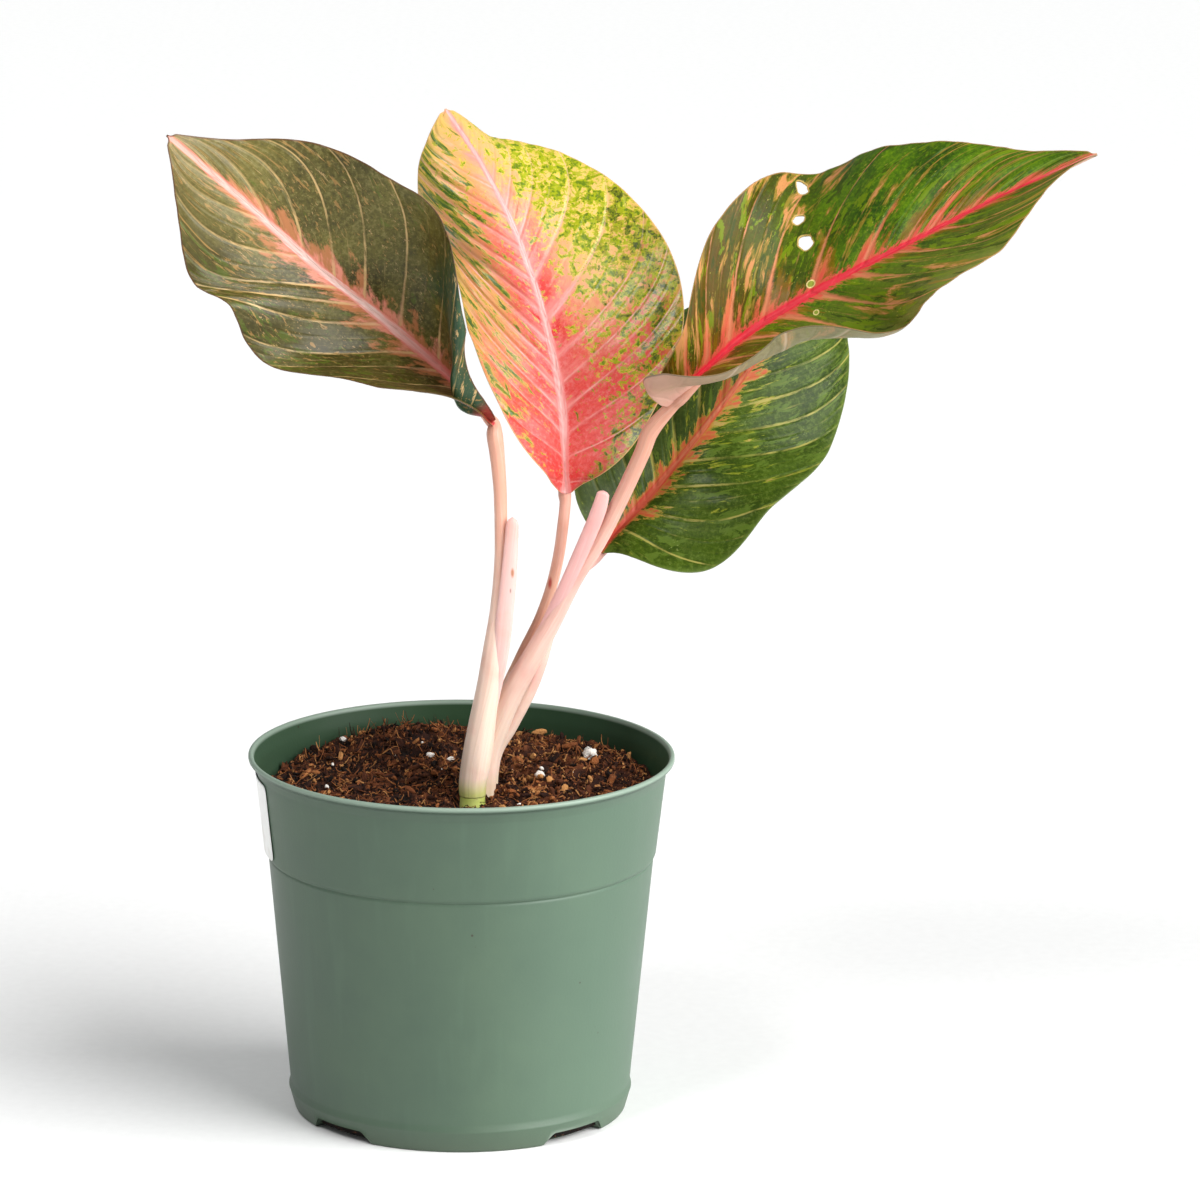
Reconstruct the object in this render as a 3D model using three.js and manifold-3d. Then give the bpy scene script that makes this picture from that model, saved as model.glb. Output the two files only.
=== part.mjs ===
// Potted Chinese evergreen (Aglaonema) in a 6-inch nursery pot. Millimetres, +Z up.
// The origin is the centre of the pot's flat underside, and -Y is the front.
import * as THREE from "three";
import Module from "manifold-3d";

const wasm = await Module();
wasm.setup();

// ---------------------------------------------------------------- driving dimensions

const GAP = 0.3; // clearance between pieces that touch
const LOOSE_GAP = 0.35; // clearance of a stem in its hole in the potting mix

// Pot: a thin moulded wall with a rolled lip, an upper band and a foot ring
const POT_HEIGHT = 133;
const LIP_RADIUS = 77.5;
const BAND_FOOT_RADIUS = 71.0;
const BAND_FOOT_HEIGHT = 96.2;
const BAND_STEP = 0.9;
const BAND_TOP_RADIUS = 74.4;
const BAND_TOP_HEIGHT = 126.8;
const WALL_LOW_RADIUS = 62.0;
const FOOT_RING_HEIGHT = 8.6;
const FOOT_RING_PROUD = 0.8;
const BASE_RADIUS = 60.6;
const WALL = 1.4;
const FLOOR = 1.6;
const POT_SIDES = 56;

// Drain notches, one at each corner of the foot
const NOTCH_AZIMUTHS = [45, 135, 225, 315];
const NOTCH_HALF_ANGLE = 10.5;
const NOTCH_RAMP_ANGLE = 4;
const NOTCH_HEIGHT = 4.6;
const NOTCH_INNER_RADIUS = 55;

// Label: a bare sticker on the band's left side
const LABEL_AZIMUTHS = [160, 199.5];
const LABEL_HEIGHTS = [97.7, 126.3];
const LABEL_THICKNESS = 0.5;
const LABEL_CORNER = 2.5;

// Potting mix
const MIX_LEVEL = 118.2; // its height at the pot's axis
const MIX_TILT = 0.045; // how much it climbs towards the back
const MIX_RINGS = 7;
const MIX_SECTORS = 36;
const CRUMB_COUNT = 84;
const CRUMB_RADII = [1.4, 3.2];
const PERLITE_COUNT = 12;
const PERLITE_RADIUS = 1.9;

// Cane: the short stem that all the leaves grow from, with its root crown in the mix
const CANE = { x: 4.2, y: -12, radius: 4.9, foot: 62, top: 121.2, sides: 12, ringEvery: 10, ringProud: 0.35 };
const ROOT_COUNT = 7;
const ROOT_LENGTH = 44;
const ROOT_RADII = [1.7, 0.8];
const ROOT_SIDES = 5;
const ROOT_RINGS = 4;
const ROOT_HOLE_GAP = 0.55; // a root's hole is looser, as its few flat sides turn on the way

// Leaves. A blade is a row of ribs that run from the midrib to the margin, as its side veins do.
// Each half lists, at the stations below, a rib's length (reach), its lift from the blade's plane where it
// leaves the midrib (lean), how much it turns on its way to the margin (curl), and how far it points
// towards the tip (sweep). A margin that rolls under has a roll, and a half with a lengthwise fold has
// a pleat, centred at a share of the rib (pleatAt). Lengths in millimetres, angles in degrees.
const MIDRIB_STATIONS = [0, 0.07, 0.2, 0.4, 0.6, 0.8, 1];
const RIB_STATIONS = [0, 0.05, 0.12, 0.22, 0.36, 0.52, 0.68, 0.84, 1];
const RIB_ARCH = 12;
const ROLL_FROM = 0.5; // share of a rib at which its roll sets in
const PLEAT_WIDTH = 0.26;
const BLADE_THICKNESS = 0.7;
const MIDRIB_RADII = [2.5, 0.7];
const BLADE_ROWS = 22;
const BLADE_COLUMNS = 7;
const PUCKER = 0.5; // height of the soft waves along a margin
const PUCKER_COUNT = 7;

const LEAVES = {
  left: {
    colour: 0x4c5637,
    face: [-0.1, -0.82, 0.56],
    midrib: [
      [11.2, -3.2, 256.1], [7, -0.9, 260.9], [-5.9, 4.3, 272.3], [-29.4, 7.7, 291.9], [-50.8, 2.6, 310],
      [-76.5, -6.4, 335.6], [-104.8, -16.1, 362.5],
    ],
    leftHalf: {
      reach: [4, 13, 27, 42, 52, 50, 41, 22, 1],
      lean: [65, 70, 63, 40, 16, 12, 3, 3, 10],
      curl: [-2, 6, 6, -5, -11, -12, -15, -15, -11],
      sweep: [-39, -24, 1, 24, 28, 44, 30, 39, 39],
    },
    rightHalf: {
      columns: 13,
      reach: [6, 17, 29, 48, 54, 50, 39, 19, 1],
      lean: [88, 90, 79, 52, 40, 37, 18, 9, 2],
      curl: [-25, -72, -78, -41, -7, 4, -4, -8, -11],
      sweep: [-37, -18, 3, 15, 11, 23, 29, 39, 41],
      pleat: [20, 75, 95, 90, 50, 0, 0, 0, 0],
      pleatAt: [0.3, 0.33, 0.38, 0.52, 0.8, 1, 1, 1, 1],
    },
  },
  middle: {
    colour: 0xd9836a,
    face: [0.12, -0.9, 0.42],
    midrib: [
      [37, 8, 228], [36.4, 12.2, 239.4], [35, 19.5, 260], [28.5, 27, 288.5], [19.5, 37.5, 314],
      [8, 49, 336.5], [-8, 66.5, 358],
    ],
    leftHalf: {
      reach: [2.7, 14, 29, 45, 52, 50, 39, 22, 1],
      lean: [40, 59, 44, 17, 4, 6, 9, 12, 16],
      curl: [-11, -15, -24, -38, -48, -45, -42, -28, -15],
      sweep: [0, -23, 10, 42, 52, 48, 48, 46, 39],
    },
    rightHalf: {
      reach: [2.7, 15, 34, 54, 59, 52, 38, 20, 1],
      lean: [40, 45, 30, 21, 6, -2, -11, -14, -5],
      curl: [-13, -14, -16, -16, -21, -25, -29, -30, -26],
      sweep: [0, -25, 5, 18, 31, 43, 51, 52, 39],
    },
  },
  right: {
    colour: 0x4f7a33,
    face: [-0.08, -0.72, 0.69],
    midrib: [
      [73.5, -16.1, 266.4], [81.2, -20.2, 274.3], [100, -14.8, 290.8], [127.9, -16.9, 309.7], [157, -20.6, 325.9],
      [187.5, -22.5, 342.8], [223.7, -25.7, 360.7],
    ],
    leftHalf: {
      reach: [3, 10, 20, 48, 59, 50, 36, 18, 1],
      lean: [62, 54, 52, 25, -5, 3, 4, 3, 9],
      curl: [-15, -11, -5, -11, -23, -21, -20, -21, -17],
      sweep: [-45, -16, 11, 24, 11, 18, 34, 35, 36],
    },
    rightHalf: {
      columns: 10,
      reach: [4, 22, 28, 40, 52, 49, 38, 20, 1],
      lean: [74, 83, 53, 25, 4, 22, 24, 29, 43],
      curl: [-4, -12, -29, -11, 0, 8, 1, 4, 10],
      sweep: [-61, -50, -8, 28, 28, 29, 34, 46, 47],
      roll: [40, 70, 62, 105, 58, 4, -10, -10, 0],
    },
  },
  back: {
    colour: 0x46702f,
    face: [0.1, -0.8, 0.58],
    midrib: [
      [49.3, 18, 204.4], [57.9, 22.3, 213.2], [74, 30, 230.5], [94.5, 42.5, 255], [110.5, 54, 274],
      [125, 68.5, 290.5], [139.5, 85, 307],
    ],
    leftHalf: {
      reach: [2.7, 15, 32, 46, 50, 45, 33, 17, 1],
      lean: [40, 39, 20, 7, -6, -10, -10, -8, -3],
      curl: [-10, -13, -18, -21, -27, -28, -27, -26, -23],
      sweep: [0, -28, -2, 19, 38, 46, 48, 45, 38],
    },
    rightHalf: {
      reach: [2.7, 16, 36, 41, 48, 44, 33, 17, 1],
      lean: [40, 40, 18, 21, -7, -15, -18, -15, -1],
      curl: [-9, -12, -18, -18, -27, -30, -30, -28, -22],
      sweep: [0, -26, -11, 7, 25, 41, 48, 48, 39],
    },
  },
};

// Holes worn through the right-hand blade: place along the midrib, share of the left half's rib, size
const WORN_HOLES = [
  { along: 0.345, out: 0.875, radius: 2.4 },
  { along: 0.35, out: 0.605, radius: 1.8 },
  { along: 0.37, out: 0.395, radius: 2.8 },
];
const HOLE_SIDES = 9;

// Stalks. Each point is x, y, z and the stalk's radius there, from the foot up to the blade.
const STALK_SIDES = 10;
const STALK_RINGS = 16;
const STALK_SINK = 2.1; // how far a stalk's axis lies under the top of the midrib
const NECK_GAP = 0.9; // clearance along the stalk, which is about GAP square to the slanted end of the blade
const STALKS = {
  left: {
    colour: 0xf0c3ae,
    neck: 1.5, // straight length under the blade
    path: [
      [4.2, -12, 121.7, 4.8], [4.25, -12, 125, 5], [5.7, -11.6, 134, 5.4], [7.4, -10.6, 146, 4.9], [9.6, -9.5, 160, 4.2],
      [11.4, -8.9, 173.7, 3.7], [13.2, -7.7, 190, 2.9], [14, -6.7, 208, 2.35], [13.7, -5.5, 228.6, 2.2],
      [12.6, -4.7, 240, 2.3],
    ],
    sheath: [
      [11.2, -9.8, 157, 3], [14.2, -10.9, 174.3, 2.9], [15.8, -11, 189, 2.7], [17.4, -10.2, 207, 2.4],
      [18.1, -8.6, 220.5, 1.5],
    ],
  },
  right: {
    colour: 0xf2c2bb,
    neck: 4,
    path: [
      [7.8, -0.6, 108, 4], [8.9, -1.4, 130, 4.4], [12.9, -2.4, 144, 4.4], [18.6, -3.4, 157.5, 4.2], [25.4, -4.4, 170, 3.8],
      [33.4, -5.6, 185.3, 3.3], [40.7, -7.2, 200.3, 3], [49.4, -9.4, 215, 2.85], [56.7, -11, 230.2, 2.85],
      [64.2, -13, 247.5, 2.9],
    ],
    sheath: [
      [32, -6.6, 186, 2.3], [38.4, -9.8, 200.2, 2.5], [44.9, -12.6, 215.8, 2.75], [49, -14, 227, 2.8],
      [50.9, -14.2, 233.6, 1.8],
    ],
  },
  middle: {
    colour: 0xe9b7a0,
    neck: 3,
    path: [
      [3, 9, 108, 2.4], [5.2, 8, 128, 2.4], [10.8, 6.4, 143, 2.4], [17, 5.8, 157.5, 2.3], [22.6, 5.6, 170.2, 2.15],
      [27.9, 5.2, 181.5, 2.1], [31.8, 5, 192.8, 2.05], [34.6, 5.2, 205, 2.05], [36.2, 5.7, 217, 2.05],
    ],
  },
  back: {
    colour: 0xf0c0bb,
    neck: 2,
    path: [
      [12.8, 6, 108, 2.9], [14.4, 5.6, 129.6, 3], [18.9, 5, 142.2, 3.1], [24.5, 4.8, 155.5, 3], [28.8, 5, 166.7, 2.8],
      [31.8, 5.8, 176, 2.6], [35.6, 8.2, 185, 2.45], [42, 13.4, 196, 2.4],
    ],
  },
};
const SHEATH_FLATNESS = 0.45;
const SHEATH_SIDES = 10;
const SHEATH_RINGS = 9;

// ---------------------------------------------------------------- shared shape functions

const radians = THREE.MathUtils.degToRad;
const mix = THREE.MathUtils.lerp;

// A smooth curve through the values at the stations; values are numbers or lists of numbers.
function smooth(stations, values, at) {
  const last = stations.length - 1;
  const slope = (i, pick) => {
    const before = Math.max(i - 1, 0);
    const after = Math.min(i + 1, last);
    return (pick(after) - pick(before)) / (stations[after] - stations[before]);
  };
  let i = 0;
  while (i < last - 1 && at >= stations[i + 1]) i += 1;
  const span = stations[i + 1] - stations[i];
  const t = (at - stations[i]) / span;
  const blend = (pick) =>
    (2 * t ** 3 - 3 * t ** 2 + 1) * pick(i) +
    (t ** 3 - 2 * t ** 2 + t) * span * slope(i, pick) +
    (3 * t ** 2 - 2 * t ** 3) * pick(i + 1) +
    (t ** 3 - t ** 2) * span * slope(i + 1, pick);
  if (typeof values[0] === "number") return blend((k) => values[k]);
  return values[0].map((_, axis) => blend((k) => values[k][axis]));
}

// A repeatable random number source.
function seeded(seed) {
  let state = seed;
  return () => {
    state = (state * 1664525 + 1013904223) % 4294967296;
    return state / 4294967296;
  };
}

// Vertices and triangles gathered into one geometry.
function meshGeometry(points, triangles) {
  const geometry = new THREE.BufferGeometry();
  geometry.setAttribute("position", new THREE.Float32BufferAttribute(points.flatMap((p) => [p.x, p.y, p.z]), 3));
  geometry.setIndex(triangles.flat());
  return geometry;
}

// A closed skin over rings of points, each ring turning the same way, with a flat cap at both ends.
function loft(rings) {
  const sides = rings[0].length;
  const points = rings.flat();
  const triangles = [];
  for (let r = 0; r < rings.length - 1; r += 1) {
    for (let s = 0; s < sides; s += 1) {
      const a = r * sides + s;
      const b = r * sides + ((s + 1) % sides);
      triangles.push([a, b, b + sides], [a, b + sides, a + sides]);
    }
  }
  const top = (rings.length - 1) * sides;
  for (let s = 1; s < sides - 1; s += 1) {
    triangles.push([0, s + 1, s], [top, top + s, top + s + 1]);
  }
  return meshGeometry(points, triangles);
}

// A round or flattened tube along a path of [x, y, z, radius] points. The flat sides face front and back.
function tube(path, sides, ringCount, flatness = 1, swell = 0) {
  const stations = path.map((_, i) => i / (path.length - 1));
  const at = (t) => new THREE.Vector3(...smooth(stations, path, t));
  const rings = [];
  for (let r = 0; r <= ringCount; r += 1) {
    const t = r / ringCount;
    const centre = at(t);
    const radius = smooth(stations, path, t)[3] + swell;
    const along = at(Math.min(t + 1e-3, 1)).sub(at(Math.max(t - 1e-3, 0))).normalize();
    const side = new THREE.Vector3().crossVectors(new THREE.Vector3(0, 1, 0), along).normalize();
    const depth = new THREE.Vector3().crossVectors(along, side);
    const ring = [];
    for (let s = 0; s < sides; s += 1) {
      const angle = (2 * Math.PI * s) / sides;
      ring.push(
        centre.clone()
          .addScaledVector(side, radius * Math.cos(angle))
          .addScaledVector(depth, radius * flatness * Math.sin(angle)),
      );
    }
    rings.push(ring);
  }
  return loft(rings);
}

function solidOf(geometry) {
  const vertProperties = new Float32Array(geometry.attributes.position.array);
  const triVerts = new Uint32Array(geometry.index.array);
  return new wasm.Manifold(new wasm.Mesh({ numProp: 3, vertProperties, triVerts }));
}

function geometryOf(solid) {
  const mesh = solid.getMesh();
  const geometry = new THREE.BufferGeometry();
  geometry.setAttribute("position", new THREE.BufferAttribute(mesh.vertProperties, 3));
  geometry.setIndex(new THREE.BufferAttribute(mesh.triVerts, 1));
  return geometry;
}

// ---------------------------------------------------------------- pot

// The outer radius of the pot's wall at a height, from the foot ring up to the lip.
function wallRadius(height) {
  if (height >= BAND_FOOT_HEIGHT) {
    const share = (height - BAND_FOOT_HEIGHT) / (BAND_TOP_HEIGHT - BAND_FOOT_HEIGHT);
    return mix(BAND_FOOT_RADIUS, BAND_TOP_RADIUS, share);
  }
  const share = (height - FOOT_RING_HEIGHT) / (BAND_FOOT_HEIGHT - FOOT_RING_HEIGHT);
  return mix(WALL_LOW_RADIUS, BAND_FOOT_RADIUS - BAND_STEP, share);
}

// A body of revolution from a closed outline of [radius, height] points that may start and end on the axis.
function turned(outline, sides) {
  const onAxis = outline[0][0] === 0;
  const ringPoints = onAxis ? outline.slice(1, -1) : outline;
  const points = [];
  for (const [radius, height] of ringPoints) {
    for (let s = 0; s < sides; s += 1) {
      const angle = (2 * Math.PI * s) / sides;
      points.push(new THREE.Vector3(radius * Math.cos(angle), radius * Math.sin(angle), height));
    }
  }
  const triangles = [];
  const rows = ringPoints.length;
  for (let r = 0; r < (onAxis ? rows - 1 : rows); r += 1) {
    const next = (r + 1) % rows;
    for (let s = 0; s < sides; s += 1) {
      const turn = (s + 1) % sides;
      triangles.push([r * sides + s, r * sides + turn, next * sides + turn]);
      triangles.push([r * sides + s, next * sides + turn, next * sides + s]);
    }
  }
  if (onAxis) {
    const low = points.push(new THREE.Vector3(0, 0, outline[0][1])) - 1;
    const high = points.push(new THREE.Vector3(0, 0, outline[outline.length - 1][1])) - 1;
    for (let s = 0; s < sides; s += 1) {
      const turn = (s + 1) % sides;
      triangles.push([low, turn, s], [high, (rows - 1) * sides + s, (rows - 1) * sides + turn]);
    }
  }
  return meshGeometry(points, triangles);
}

// A wedge of a ring between two azimuths, whose top slopes down to the floor at both ends.
function notchCutter(azimuth) {
  const stops = [
    [-NOTCH_HALF_ANGLE - NOTCH_RAMP_ANGLE, 0.2], [-NOTCH_HALF_ANGLE, NOTCH_HEIGHT], [0, NOTCH_HEIGHT],
    [NOTCH_HALF_ANGLE, NOTCH_HEIGHT], [NOTCH_HALF_ANGLE + NOTCH_RAMP_ANGLE, 0.2],
  ];
  const outer = BASE_RADIUS + 5;
  const rings = stops.map(([offset, height]) => {
    const angle = radians(azimuth + offset);
    const corner = (radius, z) => new THREE.Vector3(radius * Math.cos(angle), radius * Math.sin(angle), z);
    return [corner(NOTCH_INNER_RADIUS, -1), corner(NOTCH_INNER_RADIUS, height), corner(outer, height), corner(outer, -1)];
  });
  return loft(rings);
}

function potGeometry() {
  const stepTop = BAND_FOOT_HEIGHT + BAND_STEP;
  const outline = [
    [0, 0],
    [BASE_RADIUS - 0.6, 0],
    [BASE_RADIUS, 0.6],
    [WALL_LOW_RADIUS + FOOT_RING_PROUD - 0.3, FOOT_RING_HEIGHT - 1.3],
    [WALL_LOW_RADIUS + FOOT_RING_PROUD, FOOT_RING_HEIGHT - 0.5],
    [WALL_LOW_RADIUS + FOOT_RING_PROUD - 0.3, FOOT_RING_HEIGHT + 0.5],
    [wallRadius(FOOT_RING_HEIGHT + 2), FOOT_RING_HEIGHT + 2],
    [wallRadius(BAND_FOOT_HEIGHT - 0.01), BAND_FOOT_HEIGHT],
    [BAND_FOOT_RADIUS, stepTop],
    [BAND_TOP_RADIUS, BAND_TOP_HEIGHT],
    [BAND_TOP_RADIUS + 1.1, POT_HEIGHT - 3.8],
    [LIP_RADIUS - 0.9, POT_HEIGHT - 2.2],
    [LIP_RADIUS, POT_HEIGHT - 1.4],
    [LIP_RADIUS, POT_HEIGHT - 0.5],
    [LIP_RADIUS - 0.5, POT_HEIGHT],
    [LIP_RADIUS - 1.6, POT_HEIGHT],
    [LIP_RADIUS - 2.2, POT_HEIGHT - 0.7],
    [BAND_TOP_RADIUS - WALL, BAND_TOP_HEIGHT],
    [BAND_FOOT_RADIUS - WALL, stepTop],
    [wallRadius(BAND_FOOT_HEIGHT - 0.01) - WALL, BAND_FOOT_HEIGHT],
    [WALL_LOW_RADIUS - WALL, FOOT_RING_HEIGHT],
    [BASE_RADIUS - WALL, FLOOR],
    [0, FLOOR],
  ];
  let pot = solidOf(turned(outline, POT_SIDES));
  for (const azimuth of NOTCH_AZIMUTHS) pot = pot.subtract(solidOf(notchCutter(azimuth)));
  return geometryOf(pot);
}

// ---------------------------------------------------------------- label

// A thin plate bent round the band, with rounded corners, a gap's width off the wall.
function labelGeometry() {
  const columns = 16;
  const rings = [];
  const [from, to] = LABEL_AZIMUTHS;
  const [low, high] = LABEL_HEIGHTS;
  const arc = radians(to - from) * wallRadius((low + high) / 2);
  for (let c = 0; c <= columns; c += 1) {
    const share = (1 - Math.cos((Math.PI * c) / columns)) / 2;
    const angle = radians(mix(from, to, share));
    const fromEnd = Math.min(share, 1 - share) * arc;
    const inset = Math.max(LABEL_CORNER - fromEnd, 0);
    const cut = LABEL_CORNER - Math.sqrt(Math.max(LABEL_CORNER ** 2 - inset ** 2, 0.04));
    const corner = (height, proud) => {
      const radius = wallRadius(height) + GAP + proud;
      return new THREE.Vector3(radius * Math.cos(angle), radius * Math.sin(angle), height);
    };
    rings.push([
      corner(low + cut, 0),
      corner(high - cut, 0),
      corner(high - cut, LABEL_THICKNESS),
      corner(low + cut, LABEL_THICKNESS),
    ]);
  }
  return loft(rings);
}

// ---------------------------------------------------------------- leaves

// The midrib's point and the directions along it, out of the blade's face and across it.
function midribFrame(leaf, along) {
  const at = (t) => new THREE.Vector3(...smooth(MIDRIB_STATIONS, leaf.midrib, t));
  const tangent = at(Math.min(along + 1e-3, 1)).sub(at(Math.max(along - 1e-3, 0))).normalize();
  const face = new THREE.Vector3(...leaf.face);
  face.addScaledVector(tangent, -face.dot(tangent)).normalize();
  const across = new THREE.Vector3().crossVectors(tangent, face);
  return { point: at(along), tangent, face, across };
}

// Walks out along one rib from the midrib in short straight steps, each turned by the lean and the curl,
// and returns the points at the wanted shares of its length.
function ribPoints(leaf, half, side, along, shares) {
  const frame = midribFrame(leaf, along);
  const value = (name) => smooth(RIB_STATIONS, half[name], along);
  const lean = radians(value("lean"));
  const curl = radians(value("curl"));
  const sweep = radians(value("sweep"));
  const roll = half.roll ? radians(value("roll")) : 0;
  const pleat = half.pleat ? radians(value("pleat")) : 0;
  const pleatAt = half.pleat ? value("pleatAt") : 0;
  const steps = 40;
  const walk = [frame.point.clone()];
  for (let k = 0; k < steps; k += 1) {
    const out = (k + 0.5) / steps;
    const rolled = roll * THREE.MathUtils.smoothstep(out, ROLL_FROM, 1);
    const pleated = pleat * Math.exp(-(((out - pleatAt) / PLEAT_WIDTH) ** 2));
    const lift = lean + curl * out + rolled + pleated;
    const forward = sweep + radians(RIB_ARCH) * out;
    const step = value("reach") / steps;
    walk.push(
      walk[k].clone()
        .addScaledVector(frame.across, side * step * Math.cos(lift) * Math.cos(forward))
        .addScaledVector(frame.tangent, step * Math.cos(lift) * Math.sin(forward))
        .addScaledVector(frame.face, step * Math.sin(lift)),
    );
  }
  return shares.map((share) => {
    const k = Math.min(Math.floor(share * steps), steps - 1);
    return walk[k].clone().lerp(walk[k + 1], share * steps - k);
  });
}

function midribRadius(along) {
  return mix(MIDRIB_RADII[1], MIDRIB_RADII[0], (1 - along) ** 1.5);
}

// A blade: the ribs' points make its middle surface, and both faces lie half its thickness off it,
// with the round midrib standing out of the underside.
function bladeGeometry(leaf) {
  const middle = [];
  const ribDrop = [];
  for (let row = 0; row <= BLADE_ROWS; row += 1) {
    const along = (row / BLADE_ROWS) ** 1.2;
    const radius = midribRadius(along);
    const frame = midribFrame(leaf, along);
    const rowPoints = [];
    const rowDrop = [];
    for (const side of [-1, 1]) {
      const half = side < 0 ? leaf.leftHalf : leaf.rightHalf;
      const reach = smooth(RIB_STATIONS, half.reach, along);
      const edge = Math.min(radius / reach, 0.96);
      const shares = [0.6 * edge];
      const spans = (half.columns ?? BLADE_COLUMNS) - 2;
      for (let c = 0; c <= spans; c += 1) shares.push(mix(edge, 1, c / spans));
      const points = ribPoints(leaf, half, side, along, shares);
      const wave = PUCKER * Math.sin(Math.PI * along) * Math.sin(2 * Math.PI * PUCKER_COUNT * along + side);
      points.forEach((point, c) => point.addScaledVector(frame.face, wave * shares[c] ** 3));
      const drops = shares.map((_, c) => (c === 0 ? 0.8 : 0));
      if (side < 0) {
        rowPoints.push(...points.reverse(), frame.point.clone());
        rowDrop.push(...drops.reverse(), 1);
      } else {
        rowPoints.push(...points);
        rowDrop.push(...drops);
      }
    }
    middle.push(rowPoints);
    ribDrop.push(rowDrop.map((share) => frame.face.clone().multiplyScalar(share * radius * 1.5)));
  }
  const columns = middle[0].length;
  const rows = middle.length;
  const upper = [];
  const under = [];
  for (let r = 0; r < rows; r += 1) {
    for (let c = 0; c < columns; c += 1) {
      const alongRow = middle[r][Math.min(c + 1, columns - 1)].clone().sub(middle[r][Math.max(c - 1, 0)]);
      const alongColumn = middle[Math.min(r + 1, rows - 1)][c].clone().sub(middle[Math.max(r - 1, 0)][c]);
      const normal = alongRow.cross(alongColumn).normalize();
      upper.push(middle[r][c].clone().addScaledVector(normal, BLADE_THICKNESS / 2));
      under.push(middle[r][c].clone().addScaledVector(normal, -BLADE_THICKNESS / 2).sub(ribDrop[r][c]));
    }
  }
  const triangles = [];
  const count = rows * columns;
  for (let r = 0; r < rows - 1; r += 1) {
    for (let c = 0; c < columns - 1; c += 1) {
      const a = r * columns + c;
      const b = a + 1;
      const d = a + columns;
      triangles.push([a, b, d + 1], [a, d + 1, d]);
      triangles.push([count + a, count + d + 1, count + b], [count + a, count + d, count + d + 1]);
    }
  }
  const wall = (a, b) => triangles.push([a, count + a, count + b], [a, count + b, b]);
  for (let c = 0; c < columns - 1; c += 1) {
    wall(c, c + 1);
    wall((rows - 1) * columns + c + 1, (rows - 1) * columns + c);
  }
  for (let r = 0; r < rows - 1; r += 1) {
    wall((r + 1) * columns, r * columns);
    wall(r * columns + columns - 1, (r + 1) * columns + columns - 1);
  }
  return meshGeometry([...upper, ...under], triangles);
}

// A short rough plug through the right-hand blade where it is worn through.
function wornHoleCutter(leaf, hole) {
  const [centre] = ribPoints(leaf, leaf.leftHalf, -1, hole.along, [hole.out]);
  const face = midribFrame(leaf, hole.along).face;
  const side = new THREE.Vector3().crossVectors(new THREE.Vector3(0, 0, 1), face).normalize();
  const up = new THREE.Vector3().crossVectors(face, side);
  const ring = (offset) => {
    const points = [];
    for (let s = 0; s < HOLE_SIDES; s += 1) {
      const angle = (2 * Math.PI * s) / HOLE_SIDES;
      const radius = hole.radius * (1 + 0.16 * Math.sin(2 * angle + 40 * hole.out));
      points.push(
        centre.clone()
          .addScaledVector(side, radius * Math.cos(angle))
          .addScaledVector(up, radius * Math.sin(angle))
          .addScaledVector(face, offset),
      );
    }
    return points;
  };
  return loft([ring(-4), ring(4)]);
}

// ---------------------------------------------------------------- stalks

// A stalk's points, finished with the neck that meets the foot of its blade squarely.
function stalkPath(name) {
  const { point, tangent, face } = midribFrame(LEAVES[name], 0);
  const end = point.clone().addScaledVector(face, -STALK_SINK).addScaledVector(tangent, -NECK_GAP);
  const neck = end.clone().addScaledVector(tangent, -STALKS[name].neck);
  const path = STALKS[name].path;
  const radius = path[path.length - 1][3];
  return [...path, [...neck.toArray(), radius], [...end.toArray(), MIDRIB_RADII[0]]];
}

// The stalk with its sheath: a flattened wing that stands off it and sinks into it lower down.
function stalkSolid(name, swell = 0) {
  let stalk = solidOf(tube(stalkPath(name), STALK_SIDES, STALK_RINGS, 1, swell));
  const sheath = STALKS[name].sheath;
  if (sheath) stalk = stalk.add(solidOf(tube(sheath, SHEATH_SIDES, SHEATH_RINGS, SHEATH_FLATNESS, swell)));
  return stalk;
}

// ---------------------------------------------------------------- cane and roots

function caneSolid(swell = 0) {
  const rings = [];
  const length = CANE.top - CANE.foot;
  const count = Math.round(length / CANE.ringEvery) * 2;
  for (let r = 0; r <= count; r += 1) {
    const share = r / count;
    const scar = r % 2 === 0 ? CANE.ringProud : 0;
    const taper = mix(0.72, 1, Math.min(share * 2.5, 1));
    const radius = CANE.radius * taper - CANE.ringProud + scar + swell;
    const end = r === 0 ? -swell : r === count ? swell : 0;
    const ring = [];
    for (let s = 0; s < CANE.sides; s += 1) {
      const angle = (2 * Math.PI * s) / CANE.sides;
      const height = CANE.foot + length * share + end;
      ring.push(new THREE.Vector3(CANE.x + radius * Math.cos(angle), CANE.y + radius * Math.sin(angle), height));
    }
    rings.push(ring);
  }
  let cane = solidOf(loft(rings));
  const random = seeded(11);
  for (let k = 0; k < ROOT_COUNT; k += 1) {
    const heading = (2 * Math.PI * (k + 0.5 * random())) / ROOT_COUNT;
    const start = CANE.foot + 5 + 22 * random();
    const length = ROOT_LENGTH * (0.75 + 0.35 * random());
    const path = [];
    for (let i = 0; i <= 4; i += 1) {
      const t = i / 4;
      const out = length * t * (1 - 0.25 * t);
      const bend = heading + 0.7 * t * (random() - 0.5);
      const radius = mix(ROOT_RADII[0], ROOT_RADII[1], t);
      path.push([
        CANE.x + out * Math.cos(bend),
        CANE.y + out * Math.sin(bend),
        start - 0.85 * length * t * t,
        radius,
      ]);
    }
    cane = cane.add(solidOf(rootTube(path, swell > 0 ? ROOT_HOLE_GAP : 0)));
  }
  return cane;
}

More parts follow.
